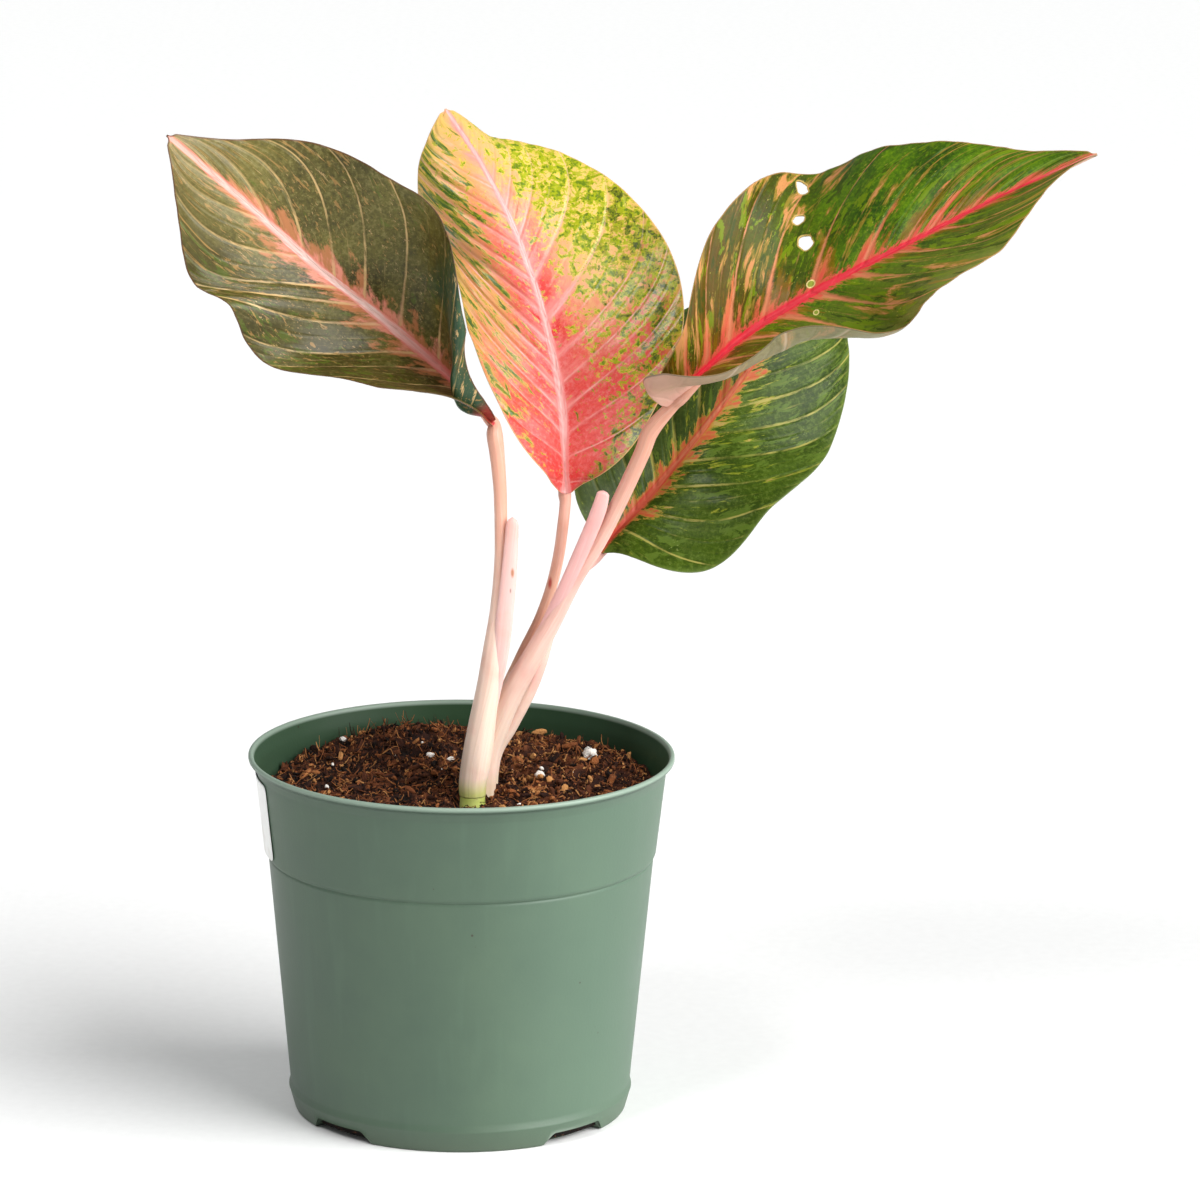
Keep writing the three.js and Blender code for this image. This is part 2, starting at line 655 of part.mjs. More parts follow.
// A root: a thin tube whose rings stay upright to its heading.
function rootTube(path, swell) {
  const stations = path.map((_, i) => i / (path.length - 1));
  const rings = [];
  for (let r = 0; r <= ROOT_RINGS; r += 1) {
    const t = r / ROOT_RINGS;
    const [x, y, z, radius] = smooth(stations, path, t);
    const ahead = smooth(stations, path, Math.min(t + 0.01, 1));
    const behind = smooth(stations, path, Math.max(t - 0.01, 0));
    const along = new THREE.Vector3(ahead[0] - behind[0], ahead[1] - behind[1], ahead[2] - behind[2]).normalize();
    const side = new THREE.Vector3(-along.y, along.x, 0).normalize();
    const up = new THREE.Vector3().crossVectors(along, side);
    const centre = new THREE.Vector3(x, y, z).addScaledVector(along, r === ROOT_RINGS ? swell : 0);
    const ring = [];
    for (let s = 0; s < ROOT_SIDES; s += 1) {
      const angle = (2 * Math.PI * s) / ROOT_SIDES;
      ring.push(
        centre.clone()
          .addScaledVector(side, (radius + swell) * Math.cos(angle))
          .addScaledVector(up, (radius + swell) * Math.sin(angle)),
      );
    }
    rings.push(ring);
  }
  return loft(rings);
}

// ---------------------------------------------------------------- potting mix

// Low mounds and dips of the mix's surface: middle, half width and half depth, and height
const MOUNDS = [
  { x: -14, y: 50, width: 30, depth: 20, height: 5.5 },
  { x: 46, y: 30, width: 26, depth: 24, height: 3 },
  { x: 4, y: -30, width: 40, depth: 22, height: -2 },
];

function mixHeight(x, y) {
  let height = MIX_LEVEL + MIX_TILT * y;
  for (const mound of MOUNDS) {
    height += mound.height * Math.exp(-(((x - mound.x) / mound.width) ** 2) - ((y - mound.y) / mound.depth) ** 2);
  }
  height += 0.6 * Math.sin(0.31 * x + 1.1) * Math.cos(0.27 * y + 0.4);
  return height + 0.4 * Math.sin(0.55 * y - 0.35 * x);
}

function mixGeometry(stems) {
  const underStep = BAND_FOOT_HEIGHT - 0.5;
  const heights = [MIX_LEVEL, BAND_FOOT_HEIGHT + BAND_STEP, underStep, FOOT_RING_HEIGHT, FLOOR + GAP];
  const inside = [
    wallRadius(MIX_LEVEL), BAND_FOOT_RADIUS - 0.6, wallRadius(underStep), WALL_LOW_RADIUS, BASE_RADIUS,
  ].map((radius) => radius - WALL - GAP);
  const outline = heights.map((height, i) => [inside[i], height]).reverse();
  const points = [];
  const ring = (radius, height) => {
    for (let s = 0; s < MIX_SECTORS; s += 1) {
      const angle = (2 * Math.PI * s) / MIX_SECTORS;
      const x = radius * Math.cos(angle);
      const y = radius * Math.sin(angle);
      points.push(new THREE.Vector3(x, y, height ?? mixHeight(x, y)));
    }
  };
  outline.slice(0, -1).forEach(([radius, height]) => ring(radius, height));
  const rim = outline[outline.length - 1][0] - 0.3;
  for (let r = MIX_RINGS; r >= 1; r -= 1) ring((rim * r) / MIX_RINGS);
  const rows = points.length / MIX_SECTORS;
  const triangles = [];
  for (let r = 0; r < rows - 1; r += 1) {
    for (let s = 0; s < MIX_SECTORS; s += 1) {
      const turn = (s + 1) % MIX_SECTORS;
      const a = r * MIX_SECTORS;
      const b = a + MIX_SECTORS;
      triangles.push([a + s, a + turn, b + turn], [a + s, b + turn, b + s]);
    }
  }
  const low = points.push(new THREE.Vector3(0, 0, FLOOR + GAP)) - 1;
  const high = points.push(new THREE.Vector3(0, 0, mixHeight(0, 0))) - 1;
  for (let s = 0; s < MIX_SECTORS; s += 1) {
    const turn = (s + 1) % MIX_SECTORS;
    triangles.push([low, turn, s], [high, (rows - 1) * MIX_SECTORS + s, (rows - 1) * MIX_SECTORS + turn]);
  }
  let solid = solidOf(meshGeometry(points, triangles));

  const random = seeded(5);
  const reachOut = inside[0] - 4.5;
  const grains = [];
  for (let k = 0; k < CRUMB_COUNT + PERLITE_COUNT; k += 1) {
    const perlite = k >= CRUMB_COUNT;
    const radius = perlite ? PERLITE_RADIUS * (0.6 + 0.7 * random()) : mix(...CRUMB_RADII, random() ** 2);
    const distance = reachOut * Math.sqrt(random());
    const azimuth = 2 * Math.PI * random();
    const x = distance * Math.cos(azimuth);
    const y = distance * Math.sin(azimuth);
    const grain = perlite ? new THREE.IcosahedronGeometry(radius, 0) : new THREE.OctahedronGeometry(radius, 0);
    const shape = new THREE.Matrix4().makeScale(1, 0.7 + 0.3 * random(), 0.65 + 0.3 * random());
    const turn = new THREE.Matrix4().makeRotationFromEuler(
      new THREE.Euler(Math.PI * random(), Math.PI * random(), Math.PI * random()),
    );
    const place = new THREE.Matrix4().makeTranslation(x, y, mixHeight(x, y) + 0.2 * radius);
    grain.applyMatrix4(place.multiply(turn).multiply(shape));
    grains.push(solidOf(weld(grain)));
  }
  for (const grain of grains) solid = solid.add(grain);
  for (const stem of stems) solid = solid.subtract(stem);
  return geometryOf(largestPiece(solid));
}

// three.js polyhedra list each triangle's corners apart, so equal corners are joined here.
function weld(geometry) {
  const source = geometry.attributes.position;
  const points = [];
  const known = new Map();
  const order = [];
  for (let i = 0; i < source.count; i += 1) {
    const point = new THREE.Vector3().fromBufferAttribute(source, i);
    const key = point.toArray().map((value) => value.toFixed(3)).join();
    if (!known.has(key)) known.set(key, points.push(point) - 1);
    order.push(known.get(key));
  }
  return meshGeometry(points, [order]);
}

// Loose scraps that a cut leaves behind are dropped.
function largestPiece(solid) {
  return solid.decompose().reduce((best, piece) => (piece.volume() > best.volume() ? piece : best));
}

// ---------------------------------------------------------------- assembly

function addPiece(group, name, geometry, colour, roughness) {
  const material = new THREE.MeshStandardMaterial({ color: colour, roughness, metalness: 0 });
  const mesh = new THREE.Mesh(geometry, material);
  mesh.name = name;
  group.add(mesh);
}

const plant = new THREE.Group();
addPiece(plant, "pot", potGeometry(), 0x567d64, 0.45);
addPiece(plant, "label", labelGeometry(), 0xf6f6f4, 0.5);
addPiece(plant, "cane_and_roots", geometryOf(caneSolid()), 0xc3cf6f, 0.55);

const stalkNames = Object.keys(STALKS);
for (const name of stalkNames) {
  addPiece(plant, `stalk_${name}`, geometryOf(stalkSolid(name)), STALKS[name].colour, 0.45);
}
for (const [name, leaf] of Object.entries(LEAVES)) {
  let blade = solidOf(bladeGeometry(leaf));
  if (name === "right") {
    for (const hole of WORN_HOLES) blade = blade.subtract(solidOf(wornHoleCutter(leaf, hole)));
  }
  addPiece(plant, `blade_${name}`, geometryOf(blade), leaf.colour, 0.4);
}

const stems = [caneSolid(LOOSE_GAP), ...stalkNames.map((name) => stalkSolid(name, LOOSE_GAP))];
addPiece(plant, "potting_mix", mixGeometry(stems), 0x4a2c1e, 0.95);

export default plant;
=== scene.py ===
"""Potted Chinese evergreen in a round nursery pot: the finished look of each piece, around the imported
solids.

Shapes are worked out in millimetres in the solids' own frame, and go into the meshes in metres. The origin
is the centre of the pot's underside, +Z is up and -Y is the front."""

import math
from types import SimpleNamespace

import bpy
import numpy as np
from mathutils import Matrix, Vector


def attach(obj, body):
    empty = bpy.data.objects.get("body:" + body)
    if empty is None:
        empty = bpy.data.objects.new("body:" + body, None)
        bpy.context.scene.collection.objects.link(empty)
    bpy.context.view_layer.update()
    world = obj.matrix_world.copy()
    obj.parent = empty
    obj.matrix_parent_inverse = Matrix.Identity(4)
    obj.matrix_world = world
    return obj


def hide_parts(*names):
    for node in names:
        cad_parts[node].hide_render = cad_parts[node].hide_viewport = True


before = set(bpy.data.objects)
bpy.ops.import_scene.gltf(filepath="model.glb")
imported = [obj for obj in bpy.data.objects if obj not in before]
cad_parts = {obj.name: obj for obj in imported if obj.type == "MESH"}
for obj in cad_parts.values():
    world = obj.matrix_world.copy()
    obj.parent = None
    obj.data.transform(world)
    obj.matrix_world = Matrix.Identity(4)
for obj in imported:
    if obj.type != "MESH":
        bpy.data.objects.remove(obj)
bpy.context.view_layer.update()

MM = 0.001

# ---------------------------------------------------------------- sizes, in millimetres and degrees

# Pot
POT_HEIGHT = 133.0
LIP_RADIUS = 77.5
BAND_FOOT_RADIUS = 71.0
BAND_FOOT_HEIGHT = 96.2
BAND_STEP = 0.9
BAND_TOP_RADIUS = 74.4
BAND_TOP_HEIGHT = 126.8
WALL_LOW_RADIUS = 62.0
FOOT_RING_HEIGHT = 8.6
FOOT_RING_PROUD = 0.8
BASE_RADIUS = 60.6
WALL = 1.4
FLOOR = 1.6
NOTCH_AZIMUTHS = (45, 135, 225, 315)
NOTCH_HALF_ANGLE = 10.5
NOTCH_RAMP_ANGLE = 4.0
NOTCH_HEIGHT = 4.6
NOTCH_INNER_RADIUS = 55.0

# Label
LABEL_AZIMUTHS = (160.0, 199.5)
LABEL_HEIGHTS = (97.7, 126.3)
LABEL_THICKNESS = 0.5
LABEL_CORNER = 2.5
GAP = 0.3

# Potting mix
MIX_LEVEL = 118.2
MIX_TILT = 0.045
MOUNDS = (  # middle x and y, half width, half depth, height
    (-14, 50, 30, 20, 5.5),
    (46, 30, 26, 24, 3.0),
    (4, -30, 40, 22, -2.0),
)

CLODS = ((11.0, 2.2, 21), (5.0, 1.9, 22), (2.4, 1.2, 23))  # size, rise and seed
BED_RINGS, BED_SECTORS = 120, 420
BED_GAP = 0.4
CRUMB_REACH = 71.0
# Crumbs to the right of this x, in millimetres, are tinted paler.
PALE_SIDE_X = 8.0
BARK_COUNT = 70
BARK_SEEN = (
    (26.0, 3.0, 4.4, 0.45), (28.5, 10.0, 3.2, 0.8), (-45.0, 32.0, 2.3, 0.6)
)  # x, y, length, paleness
PERLITE_COUNT = 34
PERLITE_SEEN = (  # x, y and radius
    (46.5, 30.5, 3.2), (-49.0, 1.0, 1.2), (-44.8, 51.0, 1.9), (-12.0, 30.5, 1.7), (-4.5, 30.5, 1.4),
    (20.5, 26.5, 1.2), (29.0, 17.5, 1.2), (28.5, 10.0, 2.4),
)
FIBRE_COUNT, FIBRE_STEPS, FIBRE_SIDES = 2200, 7, 4

# Cane and its roots
CANE_X, CANE_Y, CANE_RADIUS = 4.2, -12.0, 4.9
CANE_FOOT, CANE_TOP = 62.0, 121.2
RING_EVERY = 10.0
RING_START = 4.0
ROOT_COUNT = 7
ROOT_LENGTH = 44.0
ROOT_RADII = (1.7, 0.8)

# Leaves: see rib_surface for what the lists mean
MIDRIB_STATIONS = (0, 0.07, 0.2, 0.4, 0.6, 0.8, 1)
RIB_STATIONS = (0, 0.05, 0.12, 0.22, 0.36, 0.52, 0.68, 0.84, 1)
RIB_ARCH = 12.0
ROLL_FROM = 0.5
PLEAT_WIDTH = 0.26
RIB_STEPS = 96
BLADE_THICKNESS = 0.6
EDGE_PROUD = 0.12
MIDRIB_RADII = (2.5, 0.7)
MIDRIB_PROUD = 0.22
PUCKER, PUCKER_COUNT = 0.5, 7
RIPPLE, RIPPLE_COUNT = 0.22, 19
VEIN_GAPS = (1.0, 30.0)
BLADE_ROWS = 230
HALF_COLUMNS = 62
ROW_CROWDING = 1.12
FOLD_PASSES = 8
FOLD_COLUMNS = 3.0
FAR = 9.0

LEAVES = {
    "left": {
        "face": (-0.1, -0.82, 0.56),
        "midrib": (
            (11.2, -3.2, 256.1), (7, -0.9, 260.9), (-5.9, 4.3, 272.3), (-29.4, 7.7, 291.9),
            (-50.8, 2.6, 310), (-76.5, -6.4, 335.6), (-104.8, -16.1, 362.5),
        ),
        "left_half": {
            "reach": (4, 13, 27, 42, 52, 50, 41, 22, 1),
            "lean": (65, 70, 63, 40, 16, 12, 3, 3, 10),
            "curl": (-2, 6, 6, -5, -11, -12, -15, -15, -11),
            "sweep": (-39, -24, 1, 24, 28, 44, 30, 39, 39),
            "veins": (
                -0.04, 0.03, 0.075, 0.13, 0.204, 0.27, 0.378, 0.46, 0.535, 0.65, 0.76, 0.86, 0.95, 1.05
            ),
        },
        "right_half": {
            "reach": (6, 17, 29, 48, 54, 50, 39, 19, 1),
            "lean": (88, 90, 79, 52, 40, 37, 18, 9, 2),
            "curl": (-25, -72, -78, -41, -7, 4, -4, -8, -11),
            "sweep": (-37, -18, 3, 15, 11, 23, 29, 39, 41),
            "pleat": (20, 75, 95, 90, 50, 0, 0, 0, 0),
            "pleat_at": (0.3, 0.33, 0.38, 0.52, 0.8, 1, 1, 1, 1),
            "veins": (-0.04, 0.03, 0.08, 0.15, 0.225, 0.345, 0.46, 0.56, 0.65, 0.75, 0.85, 0.94, 1.05),
        },
        "drift": (0.19, 0.12, 0.0),
        "quilt": 0.35,
    },
    "middle": {
        "face": (0.12, -0.9, 0.42),
        "midrib": (
            (37, 8, 228), (36.4, 12.2, 239.4), (35, 19.5, 260), (28.5, 27, 288.5), (19.5, 37.5, 314),
            (8, 49, 336.5), (-8, 66.5, 358),
        ),
        "left_half": {
            "reach": (2.7, 14, 29, 45, 52, 50, 39, 22, 1),
            "lean": (40, 59, 44, 17, 4, 6, 9, 12, 16),
            "curl": (-11, -15, -24, -38, -48, -45, -42, -28, -15),
            "sweep": (0, -23, 10, 42, 52, 48, 48, 46, 39),
            "veins": (
                -0.05, 0.01, 0.06, 0.11, 0.16, 0.215, 0.274, 0.345, 0.42, 0.5, 0.585, 0.67, 0.76, 0.85,
                0.94, 1.05,
            ),
        },
        "right_half": {
            "reach": (2.7, 15, 34, 54, 59, 52, 38, 20, 1),
            "lean": (40, 45, 30, 21, 6, -2, -11, -14, -5),
            "curl": (-13, -14, -16, -16, -21, -25, -29, -30, -26),
            "sweep": (0, -25, 5, 18, 31, 43, 51, 52, 39),
            "veins": (
                -0.05, 0.01, 0.06, 0.11, 0.165, 0.23, 0.296, 0.39, 0.495, 0.61, 0.7, 0.78, 0.86, 0.94, 1.05
            ),
        },
        "drift": (0.02, 0.07, 0.11),
        "quilt": 0.28,
    },
    "right": {
        "face": (-0.08, -0.72, 0.69),
        "midrib": (
            (73.5, -16.1, 266.4), (81.2, -20.2, 274.3), (100, -14.8, 290.8), (127.9, -16.9, 309.7),
            (157, -20.6, 325.9), (187.5, -22.5, 342.8), (223.7, -25.7, 360.7),
        ),
        "left_half": {
            "reach": (3, 10, 20, 48, 59, 50, 36, 18, 1),
            "lean": (62, 54, 52, 25, -5, 3, 4, 3, 9),
            "curl": (-15, -11, -5, -11, -23, -21, -20, -21, -17),
            "sweep": (-45, -16, 11, 24, 11, 18, 34, 35, 36),
            "veins": (-0.05, 0.0, 0.05, 0.1, 0.16, 0.25, 0.37, 0.5, 0.6, 0.655, 0.75, 0.84, 0.93, 1.05),
        },
        "right_half": {
            "reach": (4, 22, 28, 40, 52, 49, 38, 20, 1),
            "lean": (74, 83, 53, 25, 4, 22, 24, 29, 43),
            "curl": (-4, -12, -29, -11, 0, 8, 1, 4, 10),
            "sweep": (-61, -50, -8, 28, 28, 29, 34, 46, 47),
            "roll": (40, 70, 62, 105, 58, 4, -10, -10, 0),
            "veins": (-0.05, 0.01, 0.06, 0.12, 0.19, 0.28, 0.375, 0.47, 0.57, 0.67, 0.77, 0.87, 0.96, 1.06),
        },
        "drift": (0.16, 0.06, 0.0),
        "quilt": 0.45,
    },
    "back": {
        "face": (0.1, -0.8, 0.58),
        "midrib": (
            (49.3, 18, 204.4), (57.9, 22.3, 213.2), (74, 30, 230.5), (94.5, 42.5, 255), (110.5, 54, 274),
            (125, 68.5, 290.5), (139.5, 85, 307),
        ),
        "left_half": {
            "reach": (2.7, 15, 32, 46, 50, 45, 33, 17, 1),
            "lean": (40, 39, 20, 7, -6, -10, -10, -8, -3),
            "curl": (-10, -13, -18, -21, -27, -28, -27, -26, -23),
            "sweep": (0, -28, -2, 19, 38, 46, 48, 45, 38),
            "veins": (
                -0.05, 0.0, 0.05, 0.105, 0.165, 0.23, 0.305, 0.39, 0.48, 0.57, 0.66, 0.75, 0.84, 0.93, 1.05
            ),
        },
        "right_half": {
            "reach": (2.7, 16, 36, 41, 48, 44, 33, 17, 1),
            "lean": (40, 40, 18, 21, -7, -15, -18, -15, -1),
            "curl": (-9, -12, -18, -18, -27, -30, -30, -28, -22),
            "sweep": (0, -26, -11, 7, 25, 41, 48, 48, 39),
            "veins": (
                -0.05, 0.0, 0.05, 0.105, 0.165, 0.23, 0.3, 0.375, 0.46, 0.55, 0.64, 0.74, 0.84, 0.93, 1.05
            ),
        },
        "drift": (0.17, 0.15, 0.0),
        "quilt": 0.4,
    },
}

# Holes worn through the right-hand blade: place along the midrib, share of the left half's rib, size
WORN_HOLES = ((0.345, 0.875, 2.6), (0.35, 0.605, 2.2), (0.37, 0.395, 3.1))
# Ring-shaped blemishes on it: the half they lie on, then the same terms
RING_SPOTS = (("left_half", 0.376, 0.07, 1.75), ("right_half", 0.34, 0.19, 1.2))

# Stalks: x, y, z and radius from the foot up to the blade
WANDER_RISE = 15.0
STALK_SINK = 2.1
STALK_ENDS = ((STALK_SINK, 2.35), (2.0, 2.2), (1.8, 1.9), (1.4, 1.3))
NECK_LENGTH = 3.4
STALKS = {
    "left": {
        "neck": (11.5, -3.9, 252.0, 2.95),
        "path": (
            (4.2, -12, 120.2, 4.75), (4.25, -12, 125, 5), (5.7, -11.6, 134, 5.4), (7.4, -10.6, 146, 4.9),
            (9.6, -9.5, 160, 4.2), (11.4, -8.9, 173.7, 3.7), (13.2, -7.7, 190, 2.9), (14, -6.7, 208, 2.35),
            (13.7, -5.6, 228.6, 2.35), (13.1, -4.9, 238, 2.5), (12.3, -4.3, 246, 2.75),
        ),
        "sheath": (
            (8.2, -9.6, 138, 2.0), (10.6, -9.8, 155, 2.8), (14.2, -10.9, 174.3, 3.1), (15.8, -11, 189, 3.1),
            (17.2, -10.2, 207, 2.7), (18.1, -8.6, 223, 2.2),
        ),
    },
    "right": {
        "neck": (67.6, -13.6, 256.5, 3.0),
        "path": (
            (7.8, -0.6, 108, 4), (8.9, -1.4, 130, 4.4), (12.9, -2.4, 144, 4.4), (18.6, -3.4, 157.5, 4.2),
            (25.4, -4.4, 170, 3.8), (33.4, -5.6, 185.3, 3.3), (40.7, -7.2, 200.3, 3),
            (49.4, -9.4, 215, 2.85), (56.7, -11, 230.2, 2.85), (64.2, -13, 247.5, 2.9),
        ),
        "sheath": (
            (24.5, -4.2, 170, 1.6), (32, -6.8, 186, 2.3), (38.4, -9.8, 200.2, 2.5),
            (44.9, -12.6, 215.8, 2.75), (48.9, -14, 227, 2.7), (50.8, -14.2, 234.4, 2.2),
        ),
    },
    "middle": {
        "neck": None,
        "path": (
            (3, 9, 108, 2.4), (5.2, 8, 128, 2.4), (10.8, 6.4, 143, 2.4), (17, 5.8, 157.5, 2.3),
            (22.6, 5.6, 170.2, 2.15), (27.9, 5.2, 181.5, 2.1), (31.8, 5, 192.8, 2.05),
            (34.6, 5.2, 205, 2.05), (36.2, 5.7, 217, 2.05),
        ),
    },
    "back": {
        "neck": None,
        "path": (
            (9.6, 6, 108, 2.9), (11.2, 5.6, 129.6, 3), (17.3, 5, 142.2, 3.1), (24, 4.8, 155.5, 3),
            (28.2, 5, 166.7, 2.8), (30.8, 5.8, 176, 2.6), (34.2, 8.2, 185, 2.4), (40.6, 13.4, 196, 2.3),
        ),
    },
}
SHEATH_FLATNESS = 0.45

# ---------------------------------------------------------------- shared shape functions


def curve(stations, values, at):
    """Smooth values between stations: a cubic piece in each span, whose slope at a station is that of the
    line from the station before to the one after."""
    stations = np.asarray(stations, float)
    values = np.asarray(values, float).reshape(len(stations), -1)
    slope = np.empty_like(values)
    slope[1:-1] = (values[2:] - values[:-2]) / (stations[2:] - stations[:-2])[:, None]
    slope[0] = (values[1] - values[0]) / (stations[1] - stations[0])
    slope[-1] = (values[-1] - values[-2]) / (stations[-1] - stations[-2])
    i = np.clip(np.searchsorted(stations, at, side="right") - 1, 0, len(stations) - 2)
    span = (stations[i + 1] - stations[i])[:, None]
    t = (at - stations[i])[:, None] / span
    return (
        (2 * t**3 - 3 * t**2 + 1) * values[i]
        + (t**3 - 2 * t**2 + t) * span * slope[i]
        + (3 * t**2 - 2 * t**3) * values[i + 1]
        + (t**3 - t**2) * span * slope[i + 1]
    )


def unit(vectors):
    """Vectors divided by their lengths."""
    return vectors / np.maximum(np.linalg.norm(vectors, axis=-1, keepdims=True), 1e-9)


def ease(value, low, high):
    """0 below low, 1 above high, and 3t^2 - 2t^3 between them."""
    t = np.clip((value - low) / (high - low), 0, 1)
    return t * t * (3 - 2 * t)


def soft_noise(points, size, seed):
    """Smooth random values from -1 to 1: a random number at each corner of a cubic lattice whose cells are
    `size` wide, blended inside a cell by 3t^2 - 2t^3 along each axis."""
    place = points / size
    cell = np.floor(place).astype(np.int64)
    t = place - cell
    t = t * t * (3 - 2 * t)
    table = np.random.default_rng(seed).uniform(-1, 1, 4096)
    total = 0.0
    for corner in ((x, y, z) for x in (0, 1) for y in (0, 1) for z in (0, 1)):
        key = cell + np.array(corner)
        key = (key[..., 0] * 73856093) ^ (key[..., 1] * 19349663) ^ (key[..., 2] * 83492791)
        key = ((key & 0xFFFFFFFF) * 2654435761 >> 15) & 4095
        weight = np.prod(np.where(np.array(corner) == 1, t, 1 - t), axis=-1)
        total = total + weight * table[key]
    return total


def quads(index, close_columns=False):
    """Four-sided faces over a grid of vertex numbers, turning from a row to the next column first."""
    if close_columns:
        index = np.concatenate([index, index[:, :1]], axis=1)
    return np.stack(
        [index[:-1, :-1], index[:-1, 1:], index[1:, 1:], index[1:, :-1]], axis=-1
    ).reshape(-1, 4)


def capped(index, first, last):
    """Faces of a closed tube: its walls, and a fan of triangles from each end ring to that end's middle
    point."""
    fans = [(first, np.roll(index[0], -1), index[0]), (last, index[-1], np.roll(index[-1], -1))]
    return [
        quads(index, close_columns=True),
        *(np.stack([np.full(len(one), middle), one, two], axis=-1) for middle, one, two in fans),
    ]


def mesh_piece(name, points, faces, material, nodes=(), attributes=None, uv=None, flat=False):
    """A piece from points in millimetres and a list of face arrays, three or four corners each."""
    mesh = bpy.data.meshes.new(name)
    corners = np.concatenate([part.reshape(-1) for part in faces]).astype(np.int32)
    sizes = np.concatenate([np.full(len(part), part.shape[1]) for part in faces])
    starts = np.concatenate([[0], np.cumsum(sizes)[:-1]])
    mesh.vertices.add(len(points))
    mesh.vertices.foreach_set("co", (np.asarray(points, float) * MM).astype(np.float32).reshape(-1))
    mesh.loops.add(len(corners))
    mesh.loops.foreach_set("vertex_index", corners)
    mesh.polygons.add(len(sizes))
    mesh.polygons.foreach_set("loop_start", starts.astype(np.int32))
    mesh.polygons.foreach_set("loop_total", sizes.astype(np.int32))
    mesh.polygons.foreach_set("use_smooth", np.full(len(sizes), not flat))
    for key, values in (attributes or {}).items():
        values = np.asarray(values, np.float32)
        kind = "FLOAT_VECTOR" if values.ndim == 2 else "FLOAT"
        layer = mesh.attributes.new(key, kind, "POINT")
        layer.data.foreach_set("vector" if values.ndim == 2 else "value", values.reshape(-1))
    if uv is not None:
        layer = mesh.uv_layers.new(name="UVMap")
        layer.data.foreach_set("uv", np.asarray(uv, np.float32)[corners].reshape(-1))
    mesh.update(calc_edges=True)
    mesh.validate()
    mesh.materials.append(material)
    piece = bpy.data.objects.new(name, mesh)
    bpy.context.scene.collection.objects.link(piece)
    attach(piece, "root")
    if nodes:
        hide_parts(*nodes)
    return piece


# ---------------------------------------------------------------- finishes


def hex_colour(code):
    """An sRGB hex colour as linear red, green, blue and alpha."""
    values = [int(code[i : i + 2], 16) / 255 for i in (1, 3, 5)]
    return tuple(v / 12.92 if v <= 0.04045 else ((v + 0.055) / 1.055) ** 2.4 for v in values) + (1.0,)


def add(tree, kind, *inputs, out=0, **more):
    """Adds a node and gives back one of its outputs. The kind of a math node is followed by a dot and its
    operation. The inputs are joined or set in the order of the node's sockets. A keyword with a capital
    letter names a socket, and one without names a setting."""
    kind, _, operation = kind.partition(".")
    node = tree.nodes.new("ShaderNode" + kind)
    if operation:
        node.operation = operation
    sockets = dict(enumerate(inputs))
    for key, value in more.items():
        if key[0].isupper():
            sockets[key] = value
        else:
            setattr(node, key, value)
    for key, value in sockets.items():
        if isinstance(value, bpy.types.NodeSocket):
            tree.links.new(value, node.inputs[key])
        elif value is not None:
            node.inputs[key].default_value = value
    return node.outputs[out]


def finish_tree(name):
    """A new material with an empty node tree."""
    material = bpy.data.materials.new(name)
    material.use_nodes = True
    material.node_tree.nodes.clear()
    return material, material.node_tree


def close_finish(tree, colour, roughness, bump, bump_mm, **more):
    """Ends a tree with the surface shader; bump is a height from 0 to 1 that stands for bump_mm
    millimetres."""
    normal = add(tree, "Bump", Height=bump, Distance=bump_mm * MM, Strength=1.0)
    surface = add(
        tree, "BsdfPrincipled", Normal=normal, Roughness=roughness, **{"Base Color": colour, **more}
    )
    output = tree.nodes.new("ShaderNodeOutputMaterial")
    tree.links.new(surface, output.inputs["Surface"])


def painted(tree, ground, coats):
    """Lays coats over a ground colour one after another; each is a mask from 0 to 1 and a colour. A colour
    Mix has its mask in socket 0 and its two colours in sockets 6 and 7."""
    colour = ground
    for mask, coat in coats:
        shade = hex_colour(coat) if isinstance(coat, str) else coat
        colour = add(tree, "Mix", mask, *[None] * 5, colour, shade, out=2, data_type="RGBA")
    return colour


